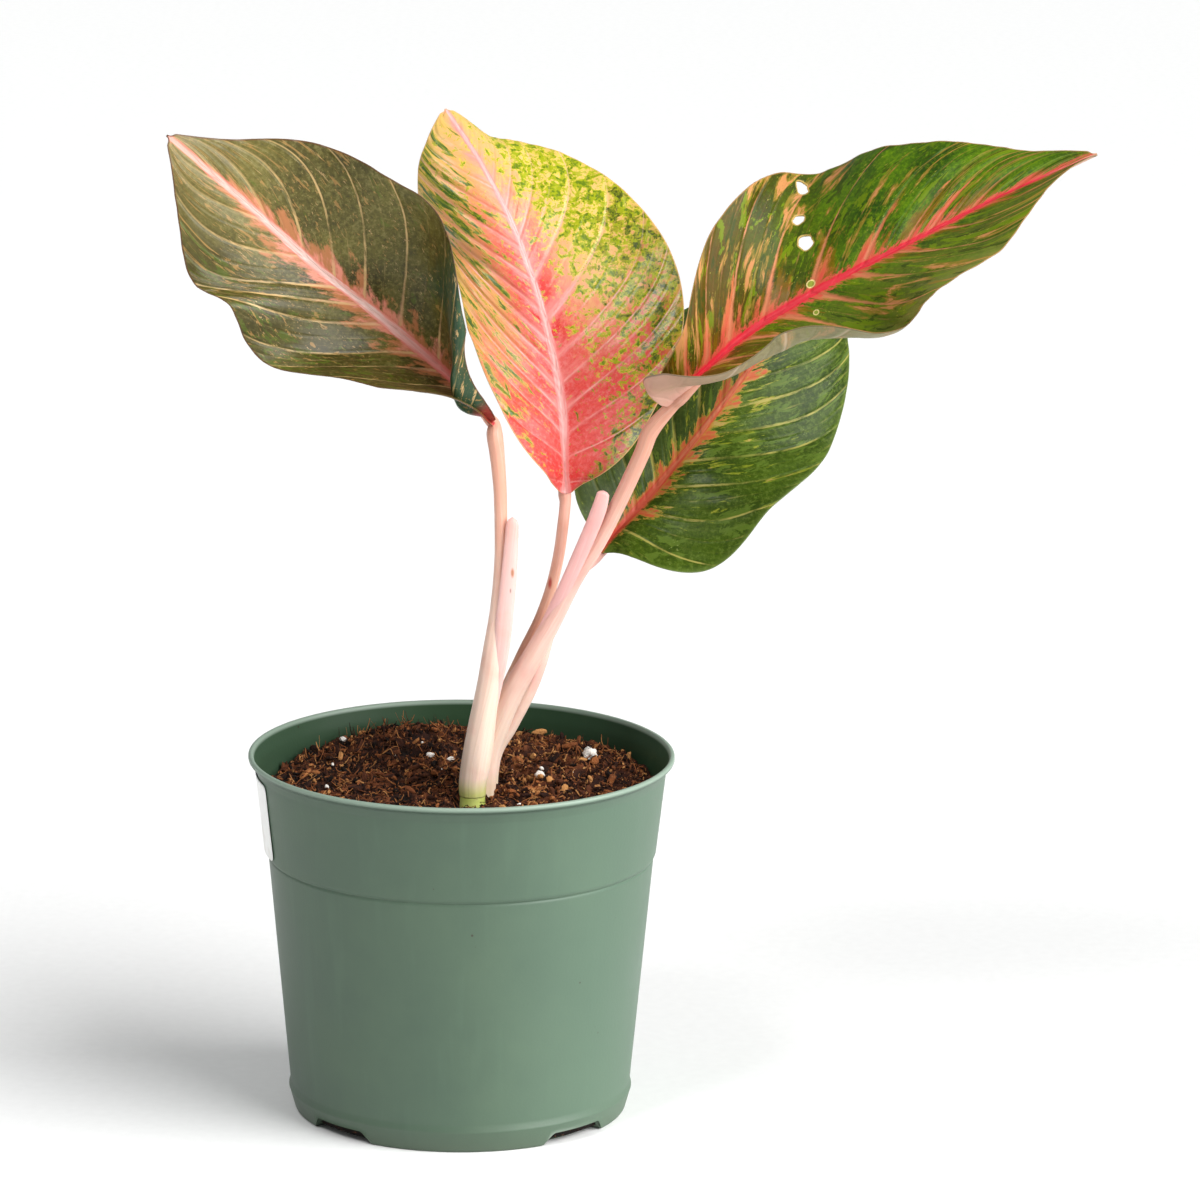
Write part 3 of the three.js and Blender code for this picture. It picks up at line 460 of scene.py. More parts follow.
def leaf_places(tree, look):
    """What a leaf skin reads of its place on the leaf, with lengths in millimetres. `phase` counts the
    side veins, `gap` lies between two of them and `share` is the part of a rib's length; `along` runs from
    foot to tip, `across` is signed and starts at the midrib, and `margin` starts at the edge; `under` is 1
    on the underside, `worn` starts at the rim of a hole, and `spot` is 1 on the ring of a blemish.
    `streak` and `mottle` are patterns' coordinates, drawn out along the ribs."""
    at = SimpleNamespace()
    for layer, parts in (
        ("ribs", ("phase", "gap", "share")), ("place", ("along", "across", "margin")),
        ("marks", ("under", "worn", "spot")),
    ):
        values = add(tree, "Attribute", attribute_name=layer, out="Vector")
        axes = add(tree, "SeparateXYZ", values).node
        for number, part in enumerate(parts):
            setattr(at, part, axes.outputs[number])
    at.even = add(tree, "TexCoord", out="Object")
    at.distance = add(tree, "Math.ABSOLUTE", at.across)
    at.right = add(tree, "MapRange", at.across, -0.4, 0.4, 0.0, 1.0)

    at.from_vein = add(tree, "Math.MULTIPLY", at.phase, look["rib_gap"])
    long_out = add(tree, "Math.MULTIPLY", at.across, look["squeeze"])
    at.streak = add(tree, "CombineXYZ", at.from_vein, long_out, 0.0)
    short_out = add(tree, "Math.MULTIPLY", at.across, 0.5)
    at.mottle = add(tree, "CombineXYZ", at.from_vein, short_out, 0.0)

    # Distance from the nearest side vein, and from the finer one halfway to the next
    at.nearest = add(tree, "Math.PINGPONG", at.phase, 0.5)
    at.to_main = add(tree, "Math.MULTIPLY", at.nearest, at.gap)
    halfway = add(tree, "Math.SUBTRACT", 0.5, at.nearest)
    at.to_fine = add(tree, "Math.MULTIPLY", halfway, at.gap)

    at.broad = add(tree, "TexNoise", Vector=at.even, Scale=45.0, Detail=3.0)
    at.grain = add(tree, "TexNoise", Vector=at.streak, Scale=0.9, Detail=5.0, Roughness=0.65)
    at.tatter = add(tree, "TexNoise", Vector=at.mottle, Scale=0.8, Detail=6.0, Roughness=0.7)
    at.skin = add(tree, "TexNoise", Vector=at.even, Scale=620.0, Detail=4.0, Roughness=0.7)
    at.ragged = add(tree, "Math.MULTIPLY_ADD", at.tatter, 0.9, -0.45)
    return at


def cell_coats(tree, look, at):
    """Pale and dark skin cells, a millimetre or two across: partly their own tone, partly painted
    glints of the waxy skin.
    """
    pale, dark = look["cells"]
    return [
        (add(tree, "MapRange", at.skin, 0.5, 0.7, 0.0, 0.5), pale),
        (add(tree, "MapRange", at.skin, 0.48, 0.3, 0.0, 0.5), dark),
    ]


def field_coats(tree, look, at):
    """Large fields with tattered edges: the other half, the foot, the outer part, the tip. A field lies
    where all of its limits are met, and each limit is a place, where it starts and where it is full."""
    coats = []
    unrest = add(tree, "Math.SUBTRACT", at.tatter, 0.5)
    for limits, strength, shade in look["fields"]:
        mask = strength
        for where, low, high in limits:
            blur = 0.0 if where == "right" else 1.1 * abs(high - low)
            shifted = add(tree, "Math.MULTIPLY_ADD", unrest, blur, getattr(at, where))
            inside = add(tree, "MapRange", shifted, low, high, interpolation_type="SMOOTHSTEP")
            mask = add(tree, "Math.MULTIPLY", mask, inside)
        coats.append((mask, shade))
    return coats


def blotch_coats(tree, look, at):
    """Blotches of noise with a heart, and on some leaves a rim and a deeper core. Those that are `even`
    are round, and the others are drawn out along the ribs, by `long`. `rise` lists where they thicken: the
    place, low, high and by how much. Those that `shun` the side veins leave them clear."""
    coats = []
    for blot in look["blotches"]:
        seed, edge = blot["seed"], blot["edge"]
        ground, stretch = at.mottle, (1.0, blot.get("long", 1.0), 1.0)
        if blot.get("even"):
            ground, stretch = at.even, (1 / MM, 1 / MM, 1 / MM)
        drawn = add(tree, "Mapping", Vector=ground, Location=(seed * 7.3, seed * 3.1, seed), Scale=stretch)
        lift = add(
            tree, "TexNoise", Vector=drawn, Scale=1 / blot["size"], Detail=5.0, Roughness=0.66,
            Distortion=0.5,
        )
        for where, low, high, gain in blot["rise"]:
            more = add(tree, "MapRange", getattr(at, where), low, high, 0.0, gain)
            lift = add(tree, "Math.ADD", lift, more)
        near_vein = add(tree, "MapRange", at.to_main, 0.2, 1.6, blot.get("shun", 0.0), 0.0)
        lift = add(tree, "Math.SUBTRACT", lift, near_vein)
        if "rim" in blot:
            coats.append((add(tree, "MapRange", lift, edge - 0.05, edge - 0.015, 0.0, 0.85), blot["rim"]))
        heart = add(tree, "MapRange", lift, edge, edge + 0.025, 0.0, blot.get("strength", 1.0))
        coats.append((heart, blot["heart"]))
        if "deep" in blot:
            cell = add(tree, "TexVoronoi", Vector=drawn, Scale=0.8, Randomness=0.9, out="Distance")
            core = add(tree, "Math.MULTIPLY_ADD", cell, -0.22, lift)
            coats.append((add(tree, "MapRange", core, edge - 0.07, edge), blot["deep"]))
    return coats


def speck_coats(tree, look, at):
    """Fine specks in clusters."""
    size, amount, shade = look["specks"]
    cells = add(tree, "TexVoronoi", Vector=at.mottle, Scale=1 / size, Randomness=1.0, out="Distance")
    cluster = add(tree, "TexNoise", Vector=at.mottle, Scale=0.13, Detail=3.0)
    room = add(tree, "MapRange", cluster, 0.42, 0.7, 0.0, amount)
    speck = add(tree, "Math.SUBTRACT", room, cells)
    return [(add(tree, "MapRange", speck, 0.0, 0.1, 0.0, 0.7), shade)]


def feather_coats(tree, look, at):
    """Marbling that feathers out of the midrib: a tattered cloud, stronger by the side veins, fading with
    distance. It reaches `left` and `right` millimetres out where `along` opens and before it closes, and
    `least` elsewhere."""
    coats = []
    for feather in look["feathers"]:
        drawn_out = add(tree, "Math.MULTIPLY", at.across, feather["squeeze"])
        cloud = add(tree, "CombineXYZ", at.from_vein, drawn_out, feather["seed"])
        cloud = add(tree, "TexNoise", Vector=cloud, Scale=1 / feather["size"], Detail=6.0, Roughness=0.68)
        cloud = add(tree, "MapRange", cloud, 0.34, 0.68)
        cling = add(tree, "MapRange", at.nearest, 0.0, 0.5, feather["cling"], -feather["cling"])
        cloud = add(tree, "Math.ADD", cloud, cling)
        sided = add(tree, "MapRange", at.right, 0.0, 1.0, feather["left"], feather["right"])
        opens, full, fades, shut = feather["along"]
        opened = add(tree, "MapRange", at.along, opens, full, interpolation_type="SMOOTHSTEP")
        closed = add(tree, "MapRange", at.along, fades, shut, 1.0, 0.0, interpolation_type="SMOOTHSTEP")
        span = add(tree, "Math.MULTIPLY", sided, opened)
        span = add(tree, "Math.MULTIPLY_ADD", span, closed, feather["least"])
        used = add(tree, "Math.DIVIDE", at.distance, span)
        left_over = add(tree, "Math.SUBTRACT", cloud, used)
        left_over = add(tree, "Math.MULTIPLY_ADD", at.tatter, 0.5, left_over)
        edge = feather["edge"]
        mask = add(tree, "MapRange", left_over, edge, edge + feather["blur"], 0.0, feather["strength"])
        coats.append((mask, feather["shade"]))
    return coats


def vein_coats(tree, look, at):
    """Side veins: a wide soft glow near the midrib, a thin broken line, fainter dashes between two of
    them, and hair lines. All but the glow fade towards the tip."""
    veins = look["veins"]
    coats = []
    gone_by = add(tree, "TexNoise", Vector=at.streak, Scale=0.22, Detail=2.0)
    lives = add(tree, "MapRange", gone_by, veins["gone"] - 0.06, veins["gone"] + 0.06, veins["least"], 1.0)
    tipward = add(tree, "MapRange", at.along, 0.66, 0.92, 1.0, 0.2)
    broken = add(tree, "MapRange", at.grain, 0.36, 0.56)
    broken = add(tree, "Math.MULTIPLY", broken, tipward)
    if veins["glow"]:
        wide, fade, strength, shade = veins["glow"]
        reach = add(tree, "MapRange", at.share, 0.0, fade, wide * 0.5, -0.4)
        upward = add(tree, "MapRange", at.along, 0.45, 0.8, 0.0, -0.4 * wide)
        reach = add(tree, "Math.ADD", reach, upward)
        reach = add(tree, "Math.MULTIPLY_ADD", at.ragged, wide * 0.9, reach)
        reach = add(tree, "Math.SUBTRACT", reach, at.to_main)
        coats.append((add(tree, "MapRange", reach, -0.5, 0.5, 0.0, strength), shade))
    taper = add(tree, "MapRange", at.share, 0.0, 1.0, veins["width"] * 0.5, veins["width"] * 0.2)
    taper = add(tree, "Math.MULTIPLY_ADD", at.ragged, 0.5, taper)
    on_main = add(tree, "Math.SUBTRACT", taper, at.to_main)
    on_main = add(tree, "MapRange", on_main, -0.16, 0.1, 0.0, veins["strength"])
    on_main = add(tree, "Math.MULTIPLY", on_main, lives)
    on_main = add(tree, "Math.MULTIPLY", on_main, broken)
    dashes = add(tree, "MapRange", at.grain, 0.52, 0.6, 0.0, veins["fine"])
    on_fine = add(tree, "Math.SUBTRACT", 0.28, at.to_fine)
    on_fine = add(tree, "Math.MULTIPLY_ADD", at.ragged, 0.5, on_fine)
    on_fine = add(tree, "MapRange", on_fine, -0.15, 0.1)
    on_fine = add(tree, "Math.MULTIPLY", on_fine, dashes)
    to_hair = add(tree, "Math.PINGPONG", at.phase, 0.125)
    to_hair = add(tree, "Math.MULTIPLY", to_hair, at.gap)
    on_hair = add(tree, "MapRange", to_hair, 0.22, 0.06, 0.0, veins["hair"])
    on_hair = add(tree, "Math.MULTIPLY", on_hair, broken)
    return coats + [(mask, veins["shade"]) for mask in (on_main, on_fine, on_hair)]


def midrib_coats(tree, look, at):
    """The midrib: a ragged border, the band, fine lines along it, its paler middle, and its ends' own
    shades. Leaves in `at.band` how far inside the band a point lies."""
    midrib = look["midrib"]
    ragged, clear = midrib["ragged"], midrib["clear"]
    narrow = add(tree, "Math.SUBTRACT", 1.0, at.along)
    narrow = add(tree, "Math.POWER", narrow, midrib["taper"])
    half = add(tree, "MapRange", narrow, 0.0, 1.0, midrib["tip"] * 0.5, midrib["foot"] * 0.5)
    border = add(tree, "MapRange", at.tatter, 0.35, 0.7, -0.3 * ragged, ragged)
    border = add(tree, "Math.ADD", half, border)
    border = add(tree, "Math.SUBTRACT", border, at.distance)
    band = add(tree, "Math.MULTIPLY_ADD", at.ragged, 0.7 * ragged, half)
    at.band = add(tree, "Math.SUBTRACT", band, at.distance)
    lengthways = add(tree, "Math.MULTIPLY", at.along, 12.0)
    threads = add(tree, "CombineXYZ", at.across, lengthways, 3.0)
    threads = add(tree, "TexNoise", Vector=threads, Scale=1.6, Detail=3.0)
    threads = add(tree, "MapRange", threads, 0.5, 0.62, 0.0, clear)
    on_band = add(tree, "MapRange", at.band, -0.1, 0.3)
    threads = add(tree, "Math.MULTIPLY", threads, on_band)
    middle = add(tree, "Math.MULTIPLY", half, 0.55)
    middle = add(tree, "Math.SUBTRACT", middle, at.distance)
    middle = add(tree, "MapRange", middle, -0.5, 0.5, 0.0, clear)
    coats = [
        (add(tree, "MapRange", border, -0.25, 0.25, 0.0, 0.9), midrib["border"]),
        (add(tree, "MapRange", at.band, -0.3, 0.3), midrib["band"]),
        (threads, midrib["middle"]),
        (middle, midrib["middle"]),
    ]
    for low, high, wider, strength, shade in midrib.get("ends", ()):
        end = add(tree, "MapRange", at.along, low, high, 0.0, strength)
        on_end = add(tree, "MapRange", at.band, -wider, 0.2)
        coats.append((add(tree, "Math.MULTIPLY", end, on_end), shade))
    return coats


def edge_coats(tree, look, at):
    """The margin's thin line, thin dry rims round the worn holes, and ring spots with a greener middle."""
    width, shade = look["margin"]
    return [
        (add(tree, "MapRange", at.margin, width, width * 0.3, 0.0, 0.85), shade),
        (add(tree, "MapRange", at.worn, 0.7, 0.2, 0.0, 0.8), "#d8b468"),
        (add(tree, "MapRange", at.spot, 1.12, 0.98), "#e6cf8a"),
        (add(tree, "MapRange", at.spot, 0.82, 0.7), "#8f9a3a"),
    ]


def underside_coats(tree, look, at):
    """The underside: the upper pattern seen through a pale, matt skin, with its own veins, foot, rib and
    edge."""
    veil, vein_shade, cover, rib_shade = look["under"]
    foot = add(tree, "MapRange", at.along, 0.16, 0.02, 0.0, 0.8, interpolation_type="SMOOTHSTEP")
    return [
        (add(tree, "MapRange", at.tatter, 0.3, 0.7, cover - 0.25, cover + 0.15), veil),
        (add(tree, "MapRange", at.to_main, 0.8, 0.1, 0.0, 0.5), vein_shade),
        (foot, rib_shade),
        (add(tree, "MapRange", at.band, -0.6, 0.3, 0.0, 0.8), rib_shade),
        (add(tree, "MapRange", at.margin, 0.7, 0.3, 0.0, 0.7), "#5d5a44"),
    ]


def blade_finish(look):
    """Living leaf skin: a waxed, satin upper face whose colours follow the veins in ragged marbling, and a
    paler, duller underside. Its relief is the side veins pressed in, the cells between them, and a very
    fine skin."""
    material, tree = finish_tree(f"{look['name']}_leaf_skin")
    at = leaf_places(tree, look)
    low_ground, high_ground = look["ground"]
    coats = [(add(tree, "MapRange", at.broad, 0.36, 0.64), high_ground)]
    for make_coats in (
        cell_coats, field_coats, blotch_coats, speck_coats, feather_coats, vein_coats, midrib_coats,
        edge_coats,
    ):
        coats += make_coats(tree, look, at)
    upper = painted(tree, hex_colour(low_ground), coats)
    under = painted(tree, upper, underside_coats(tree, look, at))
    colour = painted(tree, upper, [(at.under, under)])

    fine = add(tree, "TexNoise", Vector=at.even, Scale=1500.0, Detail=2.0)
    pressed = add(tree, "MapRange", at.to_main, 0.1, 1.3, interpolation_type="SMOOTHSTEP")
    pressed_fine = add(tree, "MapRange", at.to_fine, 0.1, 0.9, 0.6, 1.0, interpolation_type="SMOOTHSTEP")
    relief = add(tree, "Math.MULTIPLY", pressed, pressed_fine)
    for pattern, weight in ((at.grain, 0.45), (at.skin, 0.28), (fine, 0.1)):
        relief = add(tree, "Math.MULTIPLY_ADD", pattern, weight, relief)
    low_gloss, high_gloss = look["gloss"]
    wax = add(tree, "MapRange", at.broad, 0.3, 0.7, low_gloss, high_gloss)
    wax = add(tree, "Math.MULTIPLY_ADD", at.under, 0.14, wax)
    close_finish(tree, colour, wax, relief, 0.2, **{"IOR": 1.45, "Specular IOR Level": look["shine"]})
    return material


BRONZE = {
    "name": "bronze",
    "rib_gap": 9.0,
    "squeeze": 0.2,
    "ground": ("#3b360b", "#5d5720"),
    "cells": ("#8d8450", "#120f0b"),
    "fields": [
        ((("across", -4.0, -30.0),), 0.6, "#37310b"),
        ((("along", 0.6, 1.0),), 0.45, "#82743d"),
        # Painted shade and reflection: a dark teal-green field where the right half folds back near the
        # foot.
        ((("right", 0.0, 1.0), ("share", 0.36, 0.5), ("along", 0.38, 0.3)), 0.92, "#22412b"),
        ((("along", 0.07, 0.03),), 0.8, "#a53933"),
    ],
    "blotches": [
        {"seed": 1.0, "size": 2.4, "long": 1.3,
         "rise": (("across", -12.0, -36.0, 0.08), ("along", 0.62, 0.3, 0.03)), "edge": 0.63,
         "heart": "#4d6014", "strength": 0.5},
        {"seed": 2.0, "size": 1.7, "long": 1.7,
         "rise": (("along", 0.45, 0.9, 0.07), ("across", -10.0, -36.0, 0.02)), "edge": 0.62,
         "heart": "#a67e46", "strength": 0.6},
        {"seed": 2.6, "size": 1.0, "long": 1.6, "rise": (("share", 0.1, 0.5, 0.02),), "edge": 0.65,
         "heart": "#b59564", "strength": 0.7},
        {"seed": 2.9, "size": 2.4, "long": 0.5,
         "rise": (("share", 0.4, 0.6, 0.1), ("along", 0.3, 0.42, -0.3), ("across", 6.0, 2.0, -0.4)),
         "edge": 0.7, "heart": "#b89765", "strength": 0.9},
    ],
    "specks": (0.7, 0.2, "#8f7443"),
    "feathers": [
        {"seed": 3.0, "size": 3.6, "squeeze": 0.42, "cling": 0.12, "left": 15.0, "right": 13.0,
         "least": 2.4, "edge": 0.18, "blur": 0.24, "strength": 0.85, "shade": "#b17046",
         "along": (0.0, 0.25, 0.6, 0.98)},
        {"seed": 3.5, "size": 2.6, "squeeze": 0.4, "cling": 0.14, "left": 8.5, "right": 8.5, "least": 2.6,
         "edge": 0.22, "blur": 0.4, "strength": 0.95, "shade": "#d3846e", "along": (0.0, 0.1, 0.6, 0.98)},
    ],
    "veins": {"width": 1.0, "strength": 0.9, "least": 0.25, "gone": 0.48, "fine": 0.14, "hair": 0.04,
              "shade": "#c5a46e", "glow": (1.8, 0.45, 0.6, "#c79472")},
    "midrib": {
        "foot": 5.8, "tip": 2.0, "taper": 0.75, "ragged": 1.6, "border": "#c76e59", "band": "#d58d7e",
        "middle": "#d9c0b7", "clear": 0.7,
        "ends": (
            (0.44, 0.24, 0.6, 0.7, "#d5756b"), (0.22, 0.05, 2.2, 1.0, "#c13b43"),
            (0.72, 0.95, 0.3, 0.8, "#cf8e7e"),
        ),
    },
    "margin": (0.6, "#5a351e"),
    "under": ("#2b482b", "#6a8248", 0.7, "#a35548"),
    "gloss": (0.3, 0.42),
    "shine": 0.4,
}

CORAL = {
    "name": "coral",
    "rib_gap": 8.0,
    "squeeze": 0.22,
    "ground": ("#d53a38", "#de5952"),
    "cells": ("#e6948d", "#c62927"),
    "fields": [
        ((("across", 3.0, 20.0), ("along", 0.16, 0.4)), 0.85, "#e09872"),
        ((("across", 10.0, 34.0), ("along", 0.24, 0.44)), 0.9, "#ddb66b"),
        ((("across", -6.0, -30.0), ("along", 0.08, 0.3)), 0.85, "#d39658"),
        ((("along", 0.5, 0.85),), 0.7, "#d4b067"),
        # Painted shade: a brown field over the lower outer right half, standing in for shadow.
        ((("right", 0.0, 1.0), ("share", 0.55, 1.0), ("along", 0.44, 0.3)), 0.65, "#904c1e"),
        ((("margin", 9.0, 2.0), ("along", 0.1, 0.25)), 0.6, "#cbae54"),
    ],
    "blotches": [
        {"seed": 4.0, "size": 3.6, "even": 1,
         "rise": (
             ("across", 6.0, 28.0, 0.13), ("along", 0.35, 0.7, 0.03), ("along", 0.3, 0.1, -0.12),
             ("across", 0.0, -20.0, -0.1),
         ),
         "edge": 0.63, "rim": "#cbb83c", "heart": "#939c0b", "deep": "#5e740b", "shun": 0.05},
        {"seed": 5.0, "size": 2.2, "long": 0.6,
         "rise": (
             ("across", -6.0, -24.0, 0.12), ("along", 0.3, 0.75, 0.04), ("along", 0.2, 0.0, -0.08),
             ("across", 0.0, 20.0, -0.3),
         ),
         "edge": 0.635, "rim": "#c09f40", "heart": "#788122", "deep": "#435f1e", "shun": 0.08},
        {"seed": 4.4, "size": 4.2, "even": 1,
         "rise": (
             ("share", 0.35, 0.8, 0.14), ("right", 0.0, 1.0, 0.2), ("along", 0.42, 0.5, -0.3),
             ("along", 0.06, 0.0, -0.2),
         ),
         "edge": 0.87, "rim": "#988b1e", "heart": "#626d0b", "deep": "#3e480b"},
        {"seed": 5.6, "size": 1.9, "even": 1,
         "rise": (("across", 8.0, 26.0, 0.08), ("along", 0.3, 0.6, 0.03)), "edge": 0.63, "heart": "#989f0b",
         "strength": 0.85},
    ],
    "specks": (0.7, 0.3, "#aea83c"),
    "feathers": [
        {"seed": 6.0, "size": 5.0, "squeeze": 0.2, "cling": 0.3, "left": 24.0, "right": 22.0, "least": 3.0,
         "edge": 0.28, "blur": 0.6, "strength": 0.8, "shade": "#e5857e", "along": (0.08, 0.35, 0.55, 1.05)},
    ],
    "veins": {"width": 0.65, "strength": 0.6, "least": 0.3, "gone": 0.48, "fine": 0.12, "hair": 0.06,
              "shade": "#e8a79f", "glow": (2.4, 0.7, 0.35, "#e68d85")},
    "midrib": {
        "foot": 4.6, "tip": 1.8, "taper": 0.8, "ragged": 1.2, "border": "#e37e78", "band": "#e48783",
        "middle": "#e8bdb6", "clear": 0.5,
    },
    "margin": (0.5, "#d3a76b"),
    "under": ("#c59081", "#dbae9f", 0.5, "#dda598"),
    "gloss": (0.22, 0.34),
    "shine": 0.5,
}

LIME = {
    "name": "lime",
    "rib_gap": 9.5,
    "squeeze": 0.16,
    "ground": ("#2c4a0b", "#55790b"),
    "cells": ("#7f9c15", "#162b0b"),
    "fields": [
        ((("across", 3.0, 14.0),), 0.55, "#5e661d"),
        ((("along", 0.5, 0.25), ("across", 2.0, -6.0)), 0.7, "#40380b"),
        ((("along", 0.3, 0.12),), 0.8, "#60400b"),
        ((("across", 28.0, 48.0),), 0.5, "#8f8b48"),
    ],
    "blotches": [
        {"seed": 7.0, "size": 3.4, "long": 0.5, "rise": (("along", 0.5, 0.9, 0.03),), "edge": 0.56,
         "heart": "#71880b", "strength": 0.7},
        {"seed": 8.0, "size": 2.6, "long": 0.5, "rise": (("share", 0.0, 0.6, 0.02),), "edge": 0.58,
         "heart": "#35440b", "strength": 0.8},
        {"seed": 8.5, "size": 3.2, "long": 0.28,
         "rise": (("share", 0.2, 0.8, 0.03), ("along", 0.6, 0.3, 0.03)), "edge": 0.64, "rim": "#8f7529",
         "heart": "#c98754", "strength": 0.85},
    ],
    "specks": (0.7, 0.3, "#a9a440"),
    "feathers": [
        {"seed": 9.0, "size": 3.6, "squeeze": 0.12, "cling": 0.1, "left": 40.0, "right": 26.0, "least": 3.0,
         "edge": 0.5, "blur": 0.2, "strength": 0.6, "shade": "#895f0b", "along": (0.0, 0.1, 0.6, 0.95)},
        {"seed": 9.4, "size": 3.2, "squeeze": 0.12, "cling": 0.24, "left": 36.0, "right": 22.0,
         "least": 3.0, "edge": 0.68, "blur": 0.16, "strength": 0.9, "shade": "#cc7246",
         "along": (0.0, 0.1, 0.6, 0.95)},
        {"seed": 9.4, "size": 3.2, "squeeze": 0.16, "cling": 0.2, "left": 13.0, "right": 9.0, "least": 3.0,
         "edge": 0.4, "blur": 0.4, "strength": 0.9, "shade": "#d34e40", "along": (0.0, 0.1, 0.7, 1.0)},
    ],
    "veins": {"width": 0.9, "strength": 0.75, "least": 0.1, "gone": 0.5, "fine": 0.25, "hair": 0.08,
              "shade": "#cf855e", "glow": (3.0, 0.55, 0.85, "#cf7956")},
    "midrib": {
        "foot": 4.6, "tip": 0.8, "taper": 0.75, "ragged": 3.6, "border": "#d35644", "band": "#db293a",
        "middle": "#e25058", "clear": 0.35,
        "ends": ((0.88, 1.0, 0.1, 0.9, "#e1a491"),),
    },
    "margin": (0.5, "#a87f50"),
    "under": ("#91896a", "#bfb098", 0.72, "#daa796"),
    "gloss": (0.28, 0.42),
    "shine": 0.16,
}

DEEP_GREEN = {
    "name": "deep_green",
    "rib_gap": 8.0,
    "squeeze": 0.2,
    "ground": ("#2a3b0b", "#3c500b"),
    "cells": ("#637530", "#10210b"),
    "fields": [
        # Greyer left half: partly its own duller tone, partly a painted sheen.
        ((("right", 1.0, 0.0),), 0.5, "#3c4a26"),
        ((("margin", 2.5, 0.5),), 0.3, "#637534"),
    ],
    "blotches": [
        {"seed": 10.0, "size": 2.8, "long": 0.6, "rise": (("share", 0.0, 0.6, 0.02),), "edge": 0.57,
         "heart": "#536822", "strength": 0.7},
        {"seed": 10.5, "size": 2.0, "long": 0.35, "rise": (("share", 0.7, 0.1, 0.06),), "edge": 0.68,
         "rim": "#7c8522", "heart": "#a1884b"},
    ],
    "specks": (0.7, 0.26, "#798846"),
    "feathers": [
        {"seed": 11.0, "size": 2.4, "squeeze": 0.3, "cling": 0.24, "left": 9.0, "right": 11.0, "least": 1.0,
         "edge": 0.36, "blur": 0.06, "strength": 0.95, "shade": "#907f30", "along": (0.0, 0.1, 0.75, 0.95)},
        {"seed": 11.0, "size": 2.4, "squeeze": 0.3, "cling": 0.24, "left": 8.0, "right": 9.5, "least": 1.0,
         "edge": 0.42, "blur": 0.1, "strength": 0.95, "shade": "#b05234", "along": (0.0, 0.1, 0.75, 0.95)},
    ],
    "veins": {"width": 1.2, "strength": 0.85, "least": 0.15, "gone": 0.5, "fine": 0.25, "hair": 0.06,
              "shade": "#99914a", "glow": None},
    "midrib": {
        "foot": 3.2, "tip": 1.2, "taper": 0.7, "ragged": 1.8, "border": "#a47630", "band": "#ab3e2b",
        "middle": "#b67855", "clear": 0.5,
        "ends": ((0.3, 0.05, 1.2, 0.8, "#b13e34"),),
    },
    "margin": (0.5, "#5b6b39"),
    "under": ("#5b6b4f", "#889170", 0.6, "#a17568"),
    "gloss": (0.26, 0.38),
    "shine": 0.16,
}


def moulded_plastic():
    """Polypropylene, injection moulded with a satin texture: dull green with soft broad highlights, a
    whisper of flow marks up the wall, soil specks where water has run, and darker towards the bottom. The
    inside wall is darkened partly by a film of soil dust and partly by painted shade, less so on the left.
    Painted light: the right side is painted lighter, and the lip bead has a painted highlight with painted
    shade under it."""
    material, tree = finish_tree("moulded_polypropylene")
    where = add(tree, "TexCoord", out="Object")
    cloudy = add(tree, "TexNoise", Vector=where, Scale=22.0, Detail=4.0, Roughness=0.6)
    shade = add(tree, "MapRange", cloudy, 0.3, 0.7)
    upright = add(tree, "Mapping", Vector=where, Scale=(1.0, 1.0, 0.06))
    flow = add(tree, "TexNoise", Vector=upright, Scale=160.0, Detail=3.0)
    flow = add(tree, "MapRange", flow, 0.55, 0.8, 0.0, 0.22)
    cells = add(tree, "TexVoronoi", Vector=where, Scale=260.0, Randomness=1.0, out="Distance")
    rare = add(tree, "TexNoise", Vector=where, Scale=70.0, Detail=2.0)
    size = add(tree, "MapRange", rare, 0.58, 0.8, 0.0, 0.22)
    speck = add(tree, "Math.SUBTRACT", size, cells)
    speck = add(tree, "MapRange", speck, 0.0, 0.05, 0.0, 0.8)
    axes = add(tree, "SeparateXYZ", where).node
    low = add(tree, "MapRange", axes.outputs[2], 0.012, 0.0, 0.0, 0.35)
    inside = add(tree, "Attribute", attribute_name="inside", out="Fac")
    # Inside wall darkened: partly a film of soil, partly painted shade where light does not reach.
    damp = add(tree, "MapRange", cloudy, 0.3, 0.7, 0.74, 0.9)
    damp = add(tree, "Math.MULTIPLY", damp, inside)
    # Painted light: towards the left, the inside wall is painted lighter, as if lit from the right.
    painted_light_left_inside = add(tree, "MapRange", axes.outputs[0], -0.03, -0.07, 1.0, 0.7)
    damp = add(tree, "Math.MULTIPLY", damp, painted_light_left_inside)
    # Painted light: the pot's right side is painted lighter, as if lit from the right.
    painted_light_right = add(tree, "MapRange", axes.outputs[0], 0.0, 0.06, 0.0, 0.45, interpolation_type="SMOOTHSTEP")
    # Painted highlight: the lip bead is painted pale.
    bead = add(tree, "MapRange", axes.outputs[2], 0.1312, 0.1322, 0.0, 0.75)
    # Painted shade: outside, a darker band is painted just under the lip bead.
    painted_shade_under_bead = add(tree, "MapRange", axes.outputs[2], 0.1296, 0.1302, 0.0, 0.5)
    outside = add(tree, "Math.SUBTRACT", 1.0, inside)
    painted_shade_under_bead = add(tree, "Math.MULTIPLY", painted_shade_under_bead, outside)
    colour = painted(
        tree, hex_colour("#435848"),
        [
            (shade, "#4c614e"), (painted_light_right, "#5a7460"), (flow, "#566f5b"), (low, "#4a4f3e"), (damp, "#223b22"),
            (painted_shade_under_bead, "#35463a"), (bead, "#91a494"), (speck, "#33271c"),
        ],
    )
    skin = add(tree, "TexNoise", Vector=where, Scale=900.0, Detail=2.0)
    dull = add(tree, "MapRange", cloudy, 0.3, 0.7, 0.4, 0.52)
    shine = add(tree, "MapRange", inside, 0.0, 1.0, 0.5, 0.12)
    close_finish(tree, colour, dull, skin, 0.03, **{"IOR": 1.49, "Specular IOR Level": shine})
    return material


